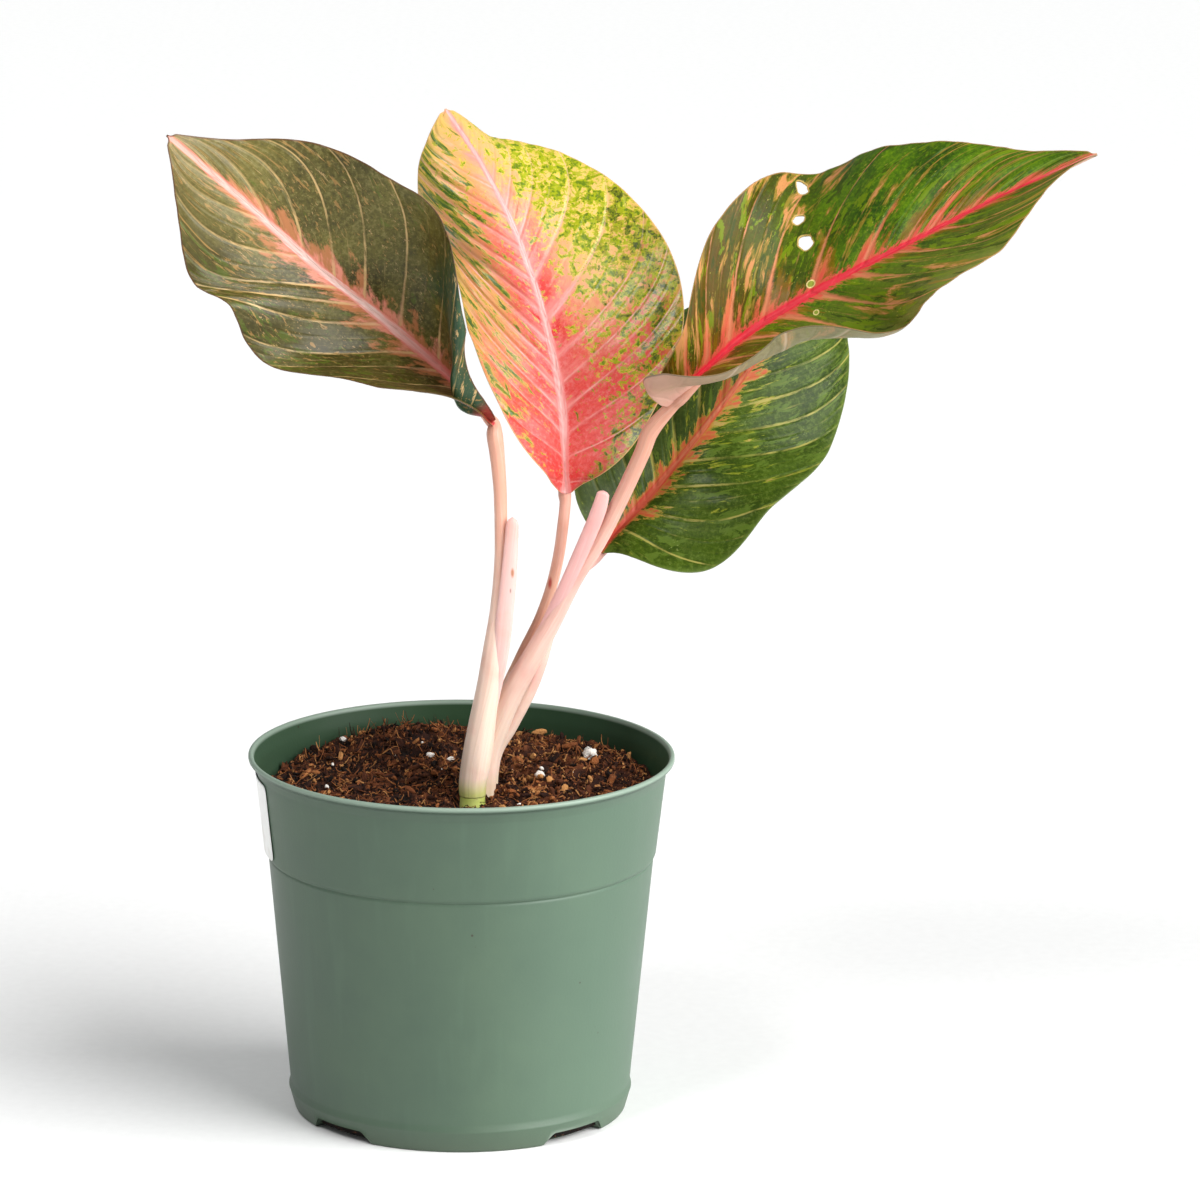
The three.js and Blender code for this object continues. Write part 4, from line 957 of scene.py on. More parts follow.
def coated_paper():
    """White paper with a thin plastic film, as on plant stickers: smooth and slightly glossy, with plain
    printed stripes and a little dirt in patches."""
    material, tree = finish_tree("film_coated_paper")
    where = add(tree, "TexCoord", out="UV")
    axes = add(tree, "SeparateXYZ", where).node
    x, y = axes.outputs[0], axes.outputs[1]
    bars = add(tree, "Math.PINGPONG", x, 2.1)
    bars = add(tree, "MapRange", bars, 0.55, 0.45)
    low = add(tree, "MapRange", y, 15.9, 16.1)
    high = add(tree, "MapRange", y, 25.1, 24.9)
    left = add(tree, "MapRange", x, 27.1, 27.0)
    patch = add(tree, "Math.MULTIPLY", low, high)
    patch = add(tree, "Math.MULTIPLY", patch, left)
    bars = add(tree, "Math.MULTIPLY", patch, bars)
    bars = add(tree, "Math.MULTIPLY", bars, 0.6)
    place = add(tree, "TexCoord", out="Object")
    dirt = add(tree, "TexNoise", Vector=place, Scale=120.0, Detail=5.0)
    dirt = add(tree, "MapRange", dirt, 0.56, 0.85, 0.0, 0.5)
    colour = painted(tree, hex_colour("#f4f4f1"), [(bars, "#c4b4b4"), (dirt, "#c9c1b4")])
    rough = add(tree, "MapRange", dirt, 0.0, 0.5, 0.3, 0.5)
    fibre = add(tree, "TexNoise", Vector=place, Scale=1500.0, Detail=1.0)
    close_finish(tree, colour, rough, fibre, 0.01, **{"IOR": 1.5})
    return material


def moist_peat():
    """Sphagnum peat with composted bark, moist: very dark red-brown, crumbly and matt, with paler dry
    fibres."""
    material, tree = finish_tree("moist_peat")
    where = add(tree, "TexCoord", out="Object")
    tint = add(tree, "Attribute", attribute_name="tint", out="Fac")
    clumps = add(tree, "TexNoise", Vector=where, Scale=180.0, Detail=5.0, Roughness=0.65)
    mixed = add(tree, "Math.MULTIPLY_ADD", clumps, 0.7, tint)
    ramp = tree.nodes.new("ShaderNodeValToRGB")
    shades = ((0.2, "#140a06"), (0.42, "#34190e"), (0.62, "#65381f"), (0.8, "#91562f"), (0.98, "#bb8550"))
    for place, shade in shades:
        stop = ramp.color_ramp.elements.new(place)
        stop.color = hex_colour(shade)
    ramp.color_ramp.elements.remove(ramp.color_ramp.elements[0])
    ramp.color_ramp.elements.remove(ramp.color_ramp.elements[-1])
    tree.links.new(mixed, ramp.inputs["Fac"])
    fibre_way = add(tree, "Mapping", Vector=where, Scale=(1.0, 0.25, 1.0), Rotation=(0.0, 0.0, 0.7))
    fibre = add(tree, "TexNoise", Vector=fibre_way, Scale=900.0, Detail=3.0)
    pale = add(tree, "MapRange", fibre, 0.62, 0.75, 0.0, 0.6)
    colour = painted(tree, ramp.outputs["Color"], [(pale, "#a87446")])
    lumps = add(tree, "TexNoise", Vector=where, Scale=700.0, Detail=6.0, Roughness=0.7)
    damp = add(tree, "MapRange", clumps, 0.35, 0.65, 0.75, 0.95)
    close_finish(tree, colour, damp, lumps, 0.8, **{"IOR": 1.4, "Specular IOR Level": 0.3})
    return material


def expanded_perlite():
    """Perlite: volcanic glass popped to a foam, so dry white grains, chalky and pitted, stained by the
    peat."""
    material, tree = finish_tree("expanded_perlite")
    where = add(tree, "TexCoord", out="Object")
    stain = add(tree, "TexNoise", Vector=where, Scale=420.0, Detail=4.0)
    stain = add(tree, "MapRange", stain, 0.5, 0.75, 0.0, 0.55)
    colour = painted(tree, hex_colour("#e9e4dc"), [(stain, "#a58a72")])
    pits = add(tree, "TexVoronoi", Vector=where, Scale=1600.0, out="Distance")
    rough = add(tree, "MapRange", stain, 0.0, 0.5, 0.8, 0.95)
    close_finish(tree, colour, rough, pits, 0.25, **{"IOR": 1.5})
    return material


def fresh_petiole(name, low, middle, high, heights, flush, wing_shade, marks=(), green=0.2):
    """Living leaf stalk: juicy, thin-skinned and satin, creamy where the sheath keeps it from the light
    and flushed with pink above, with fine ridges along it. Its shade turns from low to middle and from
    middle to high between the three heights, which wander by patches, 15 mm up on the whole. The sheath's
    free wing has its own shade, the foot is green where it clasps the cane, and `marks` are small dry
    streaks: x, y, z, half width and shade."""
    material, tree = finish_tree(name)
    where = add(tree, "TexCoord", out="Object")
    axes = add(tree, "SeparateXYZ", where).node
    grown = add(tree, "TexCoord", out="UV")
    ridged = add(tree, "Mapping", Vector=grown, Scale=(1.6, 0.03, 1.0))
    ridge = add(tree, "TexNoise", Vector=ridged, Scale=1.1, Detail=4.0, Roughness=0.6)
    patchy = add(tree, "TexNoise", Vector=where, Scale=70.0, Detail=4.0)
    pores = add(tree, "TexNoise", Vector=where, Scale=1100.0, Detail=2.0)
    wander = add(tree, "Math.MULTIPLY_ADD", patchy, 0.03, axes.outputs[2])
    coats = []
    for below, above, shade in ((heights[0], heights[1], middle), (heights[1], heights[2], high)):
        low_end, high_end = (below + WANDER_RISE) * MM, (above + WANDER_RISE) * MM
        coats.append(
            (add(tree, "MapRange", wander, low_end, high_end, interpolation_type="SMOOTHSTEP"), shade)
        )
    wing = add(tree, "Attribute", attribute_name="wing", out="Fac")
    coats.append((add(tree, "Math.MULTIPLY", wing, 0.75), wing_shade))
    coats.append((add(tree, "MapRange", ridge, 0.5, 0.75, 0.0, 0.22), flush))
    coats.append((add(tree, "MapRange", ridge, 0.46, 0.3, 0.0, 0.22), "#f6e4d8"))
    coats.append((add(tree, "MapRange", patchy, 0.5, 0.7, 0.0, 0.4), flush))
    foot = add(tree, "Math.MULTIPLY_ADD", patchy, 0.006, axes.outputs[2])
    coats.append((add(tree, "MapRange", foot, 0.1305, 0.1245, 0.0, green), "#b5bb62"))
    drawn_up = add(tree, "VectorMath.MULTIPLY", where, (1.0, 1.0, 0.35))
    for x, y, z, size, shade in marks:
        middle = (x * MM, y * MM, 0.35 * z * MM)
        away = add(tree, "VectorMath.DISTANCE", drawn_up, middle, out="Value")
        coats.append((add(tree, "MapRange", away, size * MM, size * 0.4 * MM, 0.0, 0.85), shade))
    colour = painted(tree, hex_colour(low), coats)
    rough = add(tree, "MapRange", patchy, 0.3, 0.7, 0.34, 0.46)
    relief = add(tree, "Math.MULTIPLY_ADD", pores, 0.25, ridge)
    close_finish(
        tree, colour, rough, relief, 0.16,
        **{
            "IOR": 1.42, "Subsurface Weight": 0.12, "Subsurface Radius": (0.004, 0.002, 0.001),
            "Subsurface Scale": 0.5,
        },
    )
    return material


def cane_skin():
    """Young aglaonema cane: smooth yellow-green rind ringed by pale leaf scars with brown papery scraps."""
    material, tree = finish_tree("ringed_cane_skin")
    where = add(tree, "TexCoord", out="Object")
    axes = add(tree, "SeparateXYZ", where).node
    cloudy = add(tree, "TexNoise", Vector=where, Scale=150.0, Detail=4.0)
    ragged = add(tree, "Math.MULTIPLY_ADD", cloudy, 0.004, axes.outputs[2])
    ring = add(tree, "Math.SUBTRACT", ragged, RING_START * MM)
    ring = add(tree, "Math.PINGPONG", ring, RING_EVERY * 0.5 * MM)
    scar = add(tree, "MapRange", ring, 0.0011, 0.0003, 0.0, 0.7)
    buried = add(tree, "MapRange", ragged, 0.116, 0.111)
    scrap = add(tree, "MapRange", cloudy, 0.56, 0.64, 0.0, 0.6)
    tone = add(tree, "MapRange", cloudy, 0.3, 0.7, 0.0, 0.7)
    colour = painted(
        tree, hex_colour("#a9b552"),
        [(tone, "#c6cb7e"), (scar, "#8d7444"), (scrap, "#745632"), (buried, "#b39a74")]
    )
    rough = add(tree, "MapRange", cloudy, 0.3, 0.7, 0.4, 0.6)
    close_finish(tree, colour, rough, cloudy, 0.3, **{"IOR": 1.42})
    return material


def studio_board():
    """Painted board under the pot: plain warm white, matt, with a trace of roller texture."""
    material, tree = finish_tree("matt_white_board")
    where = add(tree, "TexCoord", out="Object")
    roller = add(tree, "TexNoise", Vector=where, Scale=240.0, Detail=3.0)
    tone = add(tree, "MapRange", roller, 0.3, 0.7)
    colour = painted(tree, hex_colour("#f3f3f2"), [(tone, "#f6f6f5")])
    rough = add(tree, "MapRange", roller, 0.3, 0.7, 0.75, 0.85)
    close_finish(tree, colour, rough, roller, 0.05, **{"IOR": 1.45})
    return material


# ---------------------------------------------------------------- pot and label


def wall_radius(height):
    """The outer radius of the pot's wall: a straight taper below the band's step and another above it."""
    height = np.asarray(height, float)
    band = np.interp(height, (BAND_FOOT_HEIGHT, BAND_TOP_HEIGHT), (BAND_FOOT_RADIUS, BAND_TOP_RADIUS))
    low = np.interp(
        height, (FOOT_RING_HEIGHT, BAND_FOOT_HEIGHT), (WALL_LOW_RADIUS, BAND_FOOT_RADIUS - BAND_STEP)
    )
    return np.where(height >= BAND_FOOT_HEIGHT, band, low)


def rounded_outline(corners, radius, steps=5):
    """An outline whose inner corners are swapped for short curves: each point of a curve is the weighted
    mean of the corner and the two points `radius` before and after it."""
    corners = np.asarray(corners, float)
    before = unit(corners[:-2] - corners[1:-1])
    after = unit(corners[2:] - corners[1:-1])
    reach_before = np.minimum(radius, 0.45 * np.linalg.norm(corners[:-2] - corners[1:-1], axis=1))[:, None]
    reach_after = np.minimum(radius, 0.45 * np.linalg.norm(corners[2:] - corners[1:-1], axis=1))[:, None]
    t = np.linspace(0, 1, steps)[None, :, None]
    start = (corners[1:-1] + before * reach_before)[:, None]
    end = (corners[1:-1] + after * reach_after)[:, None]
    bends = (1 - t) ** 2 * start + 2 * t * (1 - t) * corners[1:-1][:, None] + t**2 * end
    return np.concatenate([corners[:1], bends.reshape(-1, 2), corners[-1:]])


def make_pot():
    """The pot: an outline turned about the axis. Where a drain notch is, the points of the foot that lie
    below the notch's height are lifted to it, and those of the wall slide up along the wall."""
    step_top = BAND_FOOT_HEIGHT + BAND_STEP
    wall_top = float(wall_radius(BAND_FOOT_HEIGHT - 0.01))
    outer = [
        (0, 0), (NOTCH_INNER_RADIUS - 0.2, 0), (NOTCH_INNER_RADIUS + 0.2, 0), (BASE_RADIUS - 0.6, 0),
        (BASE_RADIUS, 0.6), (WALL_LOW_RADIUS + FOOT_RING_PROUD - 0.3, FOOT_RING_HEIGHT - 1.3),
        (WALL_LOW_RADIUS + FOOT_RING_PROUD, FOOT_RING_HEIGHT - 0.5),
        (WALL_LOW_RADIUS + FOOT_RING_PROUD - 0.3, FOOT_RING_HEIGHT + 0.5),
        (float(wall_radius(FOOT_RING_HEIGHT + 2)), FOOT_RING_HEIGHT + 2),
        (wall_top, BAND_FOOT_HEIGHT - 1.5), (wall_top - 0.35, BAND_FOOT_HEIGHT - 0.7),
        (BAND_FOOT_RADIUS - 0.4, BAND_FOOT_HEIGHT), (BAND_FOOT_RADIUS, step_top),
        (BAND_TOP_RADIUS, BAND_TOP_HEIGHT), (BAND_TOP_RADIUS + 1.0, POT_HEIGHT - 3.9),
        (BAND_TOP_RADIUS + 1.5, POT_HEIGHT - 3.0), (LIP_RADIUS - 1.3, POT_HEIGHT - 2.5),
        (LIP_RADIUS - 0.2, POT_HEIGHT - 1.9), (LIP_RADIUS, POT_HEIGHT - 1.2),
        (LIP_RADIUS - 0.1, POT_HEIGHT - 0.4), (LIP_RADIUS - 0.7, POT_HEIGHT),
        (LIP_RADIUS - 1.5, POT_HEIGHT - 0.05), (LIP_RADIUS - 1.9, POT_HEIGHT - 0.8),
        (LIP_RADIUS - 2.3, POT_HEIGHT - 2), (LIP_RADIUS - 2.8, POT_HEIGHT - 3.6),
        (LIP_RADIUS - 3.3, POT_HEIGHT - 5.1), (LIP_RADIUS - 3.65, POT_HEIGHT - 6.4),
        (LIP_RADIUS - 4, POT_HEIGHT - 8.5), (LIP_RADIUS - 4.3, POT_HEIGHT - 11.5),
        (LIP_RADIUS - 4.8, POT_HEIGHT - 15.5), (BAND_FOOT_RADIUS - WALL, step_top),
        (wall_top - WALL, BAND_FOOT_HEIGHT), (WALL_LOW_RADIUS - WALL, FOOT_RING_HEIGHT),
        (BASE_RADIUS - WALL, FLOOR), (NOTCH_INNER_RADIUS - 2.5, FLOOR), (0, FLOOR),
    ]
    outline = rounded_outline(outer, 0.6)
    foot_points = np.argmax(outline[:, 1] > FOOT_RING_HEIGHT)
    azimuth = np.linspace(0, 2 * np.pi, 361)[:-1]
    away = np.min(
        [np.abs((np.degrees(azimuth) - notch + 180) % 360 - 180) for notch in NOTCH_AZIMUTHS], axis=0
    )
    lift = NOTCH_HEIGHT * np.clip((NOTCH_HALF_ANGLE + NOTCH_RAMP_ANGLE - away) / NOTCH_RAMP_ANGLE, 0, 1)
    radius = np.repeat(outline[:, :1], len(azimuth), axis=1)
    height = np.repeat(outline[:, 1:], len(azimuth), axis=1)
    order = np.arange(len(outline))[:, None]
    raised = (radius > NOTCH_INNER_RADIUS) & (order < foot_points)
    lifted = np.where(raised, np.maximum(height, lift), height)
    wall_foot = np.interp(
        lifted, (0.6, FOOT_RING_HEIGHT - 1.3), (BASE_RADIUS, WALL_LOW_RADIUS + FOOT_RING_PROUD - 0.3)
    )
    slid = raised & (lifted > height) & (radius >= BASE_RADIUS - 0.65)
    radius = np.where(slid, wall_foot, radius)
    by_floor = (radius > NOTCH_INNER_RADIUS - 2) & (height < NOTCH_HEIGHT + 1.2)
    inner_floor = (order > len(outline) - 14) & by_floor
    height = np.where(inner_floor, np.maximum(height, lift + 1.0 * (lift > 0)), lifted)
    points = np.stack([radius * np.cos(azimuth), radius * np.sin(azimuth), height], axis=-1)
    rings = points[1:-1]
    index = np.arange(rings.shape[0] * rings.shape[1]).reshape(rings.shape[:2])
    vertices = np.concatenate([rings.reshape(-1, 3), points[0, :1], points[-1, :1]])
    rim = np.argmax(outline[1:-1, 1])
    depth = np.clip((np.arange(len(rings)) - rim - 8) / 3, 0, 1)
    inside = np.concatenate([np.repeat(depth, len(azimuth)), [0, 1]])
    faces = capped(index, index.size, index.size + 1)
    mesh_piece(
        "nursery_pot", vertices, faces, moulded_plastic(), ["pot"], {"inside": inside}
    )


def make_label():
    """The sticker: a thin plate bent round the band, with corners cut to a quarter circle, a hair off the
    wall all along."""
    columns, rows = 97, 33
    share = (1 - np.cos(np.pi * np.linspace(0, 1, columns))) / 2
    low, high = LABEL_HEIGHTS
    arc = math.radians(LABEL_AZIMUTHS[1] - LABEL_AZIMUTHS[0]) * float(wall_radius((low + high) / 2))
    azimuth = np.radians(LABEL_AZIMUTHS[0] + (LABEL_AZIMUTHS[1] - LABEL_AZIMUTHS[0]) * share)
    inset = np.maximum(LABEL_CORNER - np.minimum(share, 1 - share) * arc, 0)
    cut = LABEL_CORNER - np.sqrt(np.maximum(LABEL_CORNER**2 - inset**2, 0.04))
    rise = np.linspace(0, 1, rows)[:, None]
    height = (low + cut) + (high - low - 2 * cut) * rise
    layers = []
    for proud in (LABEL_THICKNESS, 0.22):
        radius = wall_radius(height) + GAP + proud - 0.22
        layers.append(np.stack([radius * np.cos(azimuth), radius * np.sin(azimuth), height], axis=-1))
    index = np.arange(rows * columns).reshape(rows, columns)
    edge = np.concatenate([index[0], index[1:, -1], index[-1, -2::-1], index[-2:0:-1, 0]])
    back = index.size
    ring = np.stack([edge, np.roll(edge, -1)], axis=-1)
    faces = [
        quads(index),
        quads(index)[:, ::-1] + back,
        np.stack([ring[:, 1], ring[:, 0], ring[:, 0] + back, ring[:, 1] + back], axis=-1),
    ]
    flat = np.stack(np.broadcast_arrays(share * arc, height - low), axis=-1).reshape(-1, 2)
    mesh_piece(
        "sticker", np.concatenate([layer.reshape(-1, 3) for layer in layers]), faces, coated_paper(),
        ["label"], uv=np.concatenate([flat, flat]),
    )


# ---------------------------------------------------------------- potting mix


def mix_height(x, y):
    """The settled surface of the mix: a slight slope, three broad mounds or dips, and two low waves."""
    height = MIX_LEVEL + MIX_TILT * y
    for mound_x, mound_y, width, depth, rise in MOUNDS:
        height = height + rise * np.exp(-(((x - mound_x) / width) ** 2) - ((y - mound_y) / depth) ** 2)
    height = height + 0.6 * np.sin(0.31 * x + 1.1) * np.cos(0.27 * y + 0.4)
    return height + 0.4 * np.sin(0.55 * y - 0.35 * x)


def crumbled_height(x, y):
    """The mix's surface with clods: the settled surface, plus noise of four sizes from 11 mm down to 1 mm.
    The three larger ones are folded, a constant less the noise without its sign, which makes rounded clods
    with creases."""
    flat = np.stack([x, y, np.zeros_like(x)], axis=-1)
    height = mix_height(x, y)
    for size, rise, seed in CLODS:
        height = height + rise * (0.45 - np.abs(soft_noise(flat, size, seed)))
    return height + 0.5 * soft_noise(flat, 1.1, 24)


def make_mix_body(material):
    """The mix: rings of its surface from the wall to the middle, and a plain body under them that fills
    the pot."""
    azimuth = np.linspace(0, 2 * np.pi, BED_SECTORS, endpoint=False)
    rim = float(wall_radius(MIX_LEVEL)) - WALL - BED_GAP
    radius = np.linspace(rim, 0, BED_RINGS + 1)[:-1, None]
    x, y = radius * np.cos(azimuth), radius * np.sin(azimuth)
    height = crumbled_height(x, y)
    top = np.stack([x, y, height], axis=-1)
    sides = []
    for level in (FLOOR + GAP, FOOT_RING_HEIGHT, BAND_FOOT_HEIGHT - 0.5, 108.0):
        bound = float(np.interp(level, (FLOOR, FOOT_RING_HEIGHT), (BASE_RADIUS, WALL_LOW_RADIUS)))
        bound = (bound if level <= FOOT_RING_HEIGHT else float(wall_radius(level))) - WALL - BED_GAP
        sides.append(
            np.stack(
                [bound * np.cos(azimuth), bound * np.sin(azimuth), np.full(BED_SECTORS, level)], axis=-1
            )
        )
    grid = np.concatenate([np.array(sides), top])
    index = np.arange(grid.shape[0] * BED_SECTORS).reshape(-1, BED_SECTORS)
    faces = capped(index, index.size, index.size + 1)
    middle = [[0, 0, FLOOR + GAP], [0, 0, float(crumbled_height(np.zeros(1), np.zeros(1))[0])]]
    vertices = np.concatenate([grid.reshape(-1, 3), middle])
    raised = vertices[:, 2] - mix_height(vertices[:, 0], vertices[:, 1])
    tint = np.clip(0.02 + 0.1 * raised + 0.2 * soft_noise(vertices, 7.0, 25), -0.25, 0.45)
    mesh_piece("potting_mix_bed", vertices, faces, material, ["potting_mix"], {"tint": tint})


def ball(rings, sectors):
    """A unit ball: rings of points from pole to pole, and its faces."""
    polar = np.linspace(0, np.pi, rings + 2)[1:-1, None]
    azimuth = np.linspace(0, 2 * np.pi, sectors, endpoint=False)
    grid = np.stack(
        [
            np.sin(polar) * np.cos(azimuth), np.sin(polar) * np.sin(azimuth),
            np.cos(polar) * np.ones(sectors),
        ], axis=-1
    )
    index = np.arange(rings * sectors).reshape(rings, sectors)
    points = np.concatenate([grid.reshape(-1, 3), [[0, 0, 1], [0, 0, -1]]])
    return points, capped(index[::-1], index.size + 1, index.size)


def scattered(shape, places, sizes, turns):
    """Copies of a ball's points: each is scaled along its own axes, turned, and put in its place."""
    points, faces = shape
    spun = np.einsum("nij,npj->npi", turns, points[None] * sizes[:, None])
    vertices = (spun + places[:, None]).reshape(-1, 3)
    step = np.arange(len(places))[:, None, None] * len(points)
    return vertices, [(part[None] + step).reshape(-1, part.shape[1]) for part in faces]


def lumpy(vertices, places, strength, size, apart, seed):
    """Copies of a ball made lumpy: each point moves out from its ball's middle by a share that is soft
    noise times the strength, and the noise is read `apart` further on for each ball."""
    own = np.repeat(np.arange(len(places)), len(vertices) // len(places))
    noise = soft_noise(vertices + own[:, None] * apart, size, seed)
    return places[own] + (vertices - places[own]) * (1 + strength * noise)[:, None]


def random_turns(random, count):
    """Turning matrices in every direction, from random unit quaternions."""
    w, x, y, z = unit(random.normal(size=(count, 4))).T
    return np.stack(
        [
            1 - 2 * (y * y + z * z), 2 * (x * y - z * w), 2 * (x * z + y * w), 2 * (x * y + z * w),
            1 - 2 * (x * x + z * z), 2 * (y * z - x * w), 2 * (x * z - y * w), 2 * (y * z + x * w),
            1 - 2 * (x * x + y * y),
        ],
        axis=-1,
    ).reshape(count, 3, 3)


def in_pot(random, count, reach=70.5):
    """Places spread evenly over a disc."""
    distance = reach * np.sqrt(random.random(count))
    azimuth = 2 * np.pi * random.random(count)
    return distance * np.cos(azimuth), distance * np.sin(azimuth)


def make_crumbs(name, material, count, middle, most, shape, seed):
    """Loose crumbs of peat and bark: knobbly balls of a few dozen faces, half sunk in and each with its
    own tint, mostly dark, and a few dry and tan. Their radii lie round `middle` millimetres and reach
    `most`."""
    random = np.random.default_rng(seed)
    x, y = in_pot(random, count)
    radius = np.clip(middle * np.exp(0.45 * random.normal(size=count)), 0.25, most)
    inside = np.hypot(x, y) + radius < CRUMB_REACH
    x, y, radius = x[inside], y[inside], radius[inside]
    count = len(x)
    sizes = radius[:, None] * np.stack(
        [
            random.uniform(0.9, 2.0, count), random.uniform(0.6, 1.0, count),
            random.uniform(0.35, 0.9, count),
        ], axis=-1
    )
    rise = random.uniform(0.0, 1.1, count)
    places = np.stack([x, y, crumbled_height(x, y) + rise * radius], axis=-1)
    vertices, faces = scattered(shape, places, sizes, random_turns(random, count))
    vertices = lumpy(vertices, places, 0.45, 1.1, 17.0, seed + 1)
    # Crumbs on the right of the pot are tinted paler.
    tint = -0.3 + 0.85 * random.random(count) ** 1.9 + 0.08 * rise + 0.2 * (x > PALE_SIDE_X)
    tint = np.repeat(tint, len(vertices) // count)
    mesh_piece(name, vertices, faces, material, ["potting_mix"], {"tint": tint}, flat=True)


def make_bark(material):
    """Composted bark: flat splinters, long balls pressed thin, lying nearly level on the mix. The first
    few lie where they are seen."""
    random = np.random.default_rng(41)
    count = BARK_COUNT
    seen = len(BARK_SEEN)
    x, y = in_pot(random, count, 64.0)
    length = random.uniform(1.2, 3.4, count)
    x[:seen], y[:seen], length[:seen], paleness = np.array(BARK_SEEN).T
    sizes = np.stack(
        [length, length * random.uniform(0.3, 0.55, count), random.uniform(0.45, 0.9, count)], axis=-1
    )
    heading = random.uniform(0, np.pi, count)
    heading[0] = 0.15
    tilt = random.normal(0, 0.25, count)
    zero, one = np.zeros(count), np.ones(count)
    spin = np.stack(
        [np.cos(heading), -np.sin(heading), zero, np.sin(heading), np.cos(heading), zero, zero, zero, one],
        axis=-1,
    )
    lean = np.stack(
        [np.cos(tilt), zero, np.sin(tilt), zero, one, zero, -np.sin(tilt), zero, np.cos(tilt)], axis=-1
    )
    turns = np.einsum("nij,njk->nik", spin.reshape(count, 3, 3), lean.reshape(count, 3, 3))
    places = np.stack([x, y, crumbled_height(x, y) + 0.9], axis=-1)
    shape = ball(8, 14)
    squared = np.sign(shape[0]) * np.abs(shape[0]) ** 0.6
    vertices, faces = scattered((squared, shape[1]), places, sizes, turns)
    vertices = lumpy(vertices, places, 0.3, 1.3, 9.0, 42)
    tint = random.uniform(-0.15, 0.5, count)
    tint[:seen] = paleness
    tint = np.repeat(tint, len(vertices) // count)
    mesh_piece("bark_chips", vertices, faces, material, ["potting_mix"], {"tint": tint})


def make_perlite():
    """Perlite: round white grains, 1 to 6 mm across, with lumps of noise. The first few lie where they are
    seen."""
    random = np.random.default_rng(51)
    count = PERLITE_COUNT
    seen = len(PERLITE_SEEN)
    x, y = in_pot(random, count, 68.0)
    radius = np.clip(0.42 * np.exp(0.35 * random.normal(size=count)), 0.3, 0.9)
    x[:seen], y[:seen], radius[:seen] = np.array(PERLITE_SEEN).T
    sizes = radius[:, None] * random.uniform(0.6, 1.15, (count, 3))
    places = np.stack([x, y, crumbled_height(x, y) + 0.6 * radius], axis=-1)
    vertices, faces = scattered(ball(11, 18), places, sizes, random_turns(random, count))
    vertices = lumpy(vertices, places, 0.34, 0.8, 11.0, 52)
    mesh_piece("perlite_grains", vertices, faces, expanded_perlite(), ["potting_mix"])


def make_fibres(material):
    """Peat fibres and fine roots: thin bent tubes, each a short arc that lies on the mix with one end a
    little up, and more so at the back."""
    random = np.random.default_rng(61)
    count, steps, sides = FIBRE_COUNT, FIBRE_STEPS, FIBRE_SIDES
    x, y = in_pot(random, count, 68.5)
    length = 1.8 + 7.0 * random.random(count) ** 2
    heading = random.uniform(0, 2 * np.pi, count)
    bend = random.normal(0, 1.8, count)
    t = np.linspace(0, 1, steps)[None]
    turn = heading[:, None] + bend[:, None] * (t - 0.5)
    step_x = np.cumsum(np.cos(turn), axis=1) * length[:, None] / steps
    step_y = np.cumsum(np.sin(turn), axis=1) * length[:, None] / steps
    px = x[:, None] + step_x - step_x.mean(1, keepdims=True)
    py = y[:, None] + step_y - step_y.mean(1, keepdims=True)
    beyond = np.maximum(np.hypot(px, py) / 70.3, 1)
    px, py = px / beyond, py / beyond
    fluff = 1 + 1.3 * ease(y, 10.0, 45.0)
    start_up = random.uniform(0.1, 1.2, count)[:, None]
    end_up = 2.6 * (fluff * random.random(count) ** 2)[:, None]
    up = start_up + end_up * t**2
    pz = crumbled_height(px, py) + up
    line = np.stack([px, py, pz], axis=-1)
    along = unit(np.gradient(line, axis=1))
    side = unit(np.cross(along, (0.0, 0.0, 1.0)))
    rise = np.cross(side, along)
    angle = np.linspace(0, 2 * np.pi, sides, endpoint=False)
    radius = random.uniform(0.1, 0.34, count)[:, None, None, None] * (1 - 0.6 * t**3)[..., None, None]
    ring = side[:, :, None] * np.cos(angle)[:, None] + rise[:, :, None] * np.sin(angle)[:, None]
    points = line[:, :, None] + radius * ring
    index = np.arange(count * steps * sides).reshape(count, steps, sides)
    walls = np.concatenate([quads(one, close_columns=True) for one in index])
    faces = [walls[:, ::-1], index[:, 0], index[:, -1, ::-1]]
    tint = np.repeat(random.uniform(-0.1, 0.62, count), steps * sides)
    mesh_piece(
        "peat_fibres", points.reshape(-1, 3), faces, material, ["potting_mix"],
        {"tint": tint},
    )


# ---------------------------------------------------------------- tubes: stalks, sheaths, cane and roots


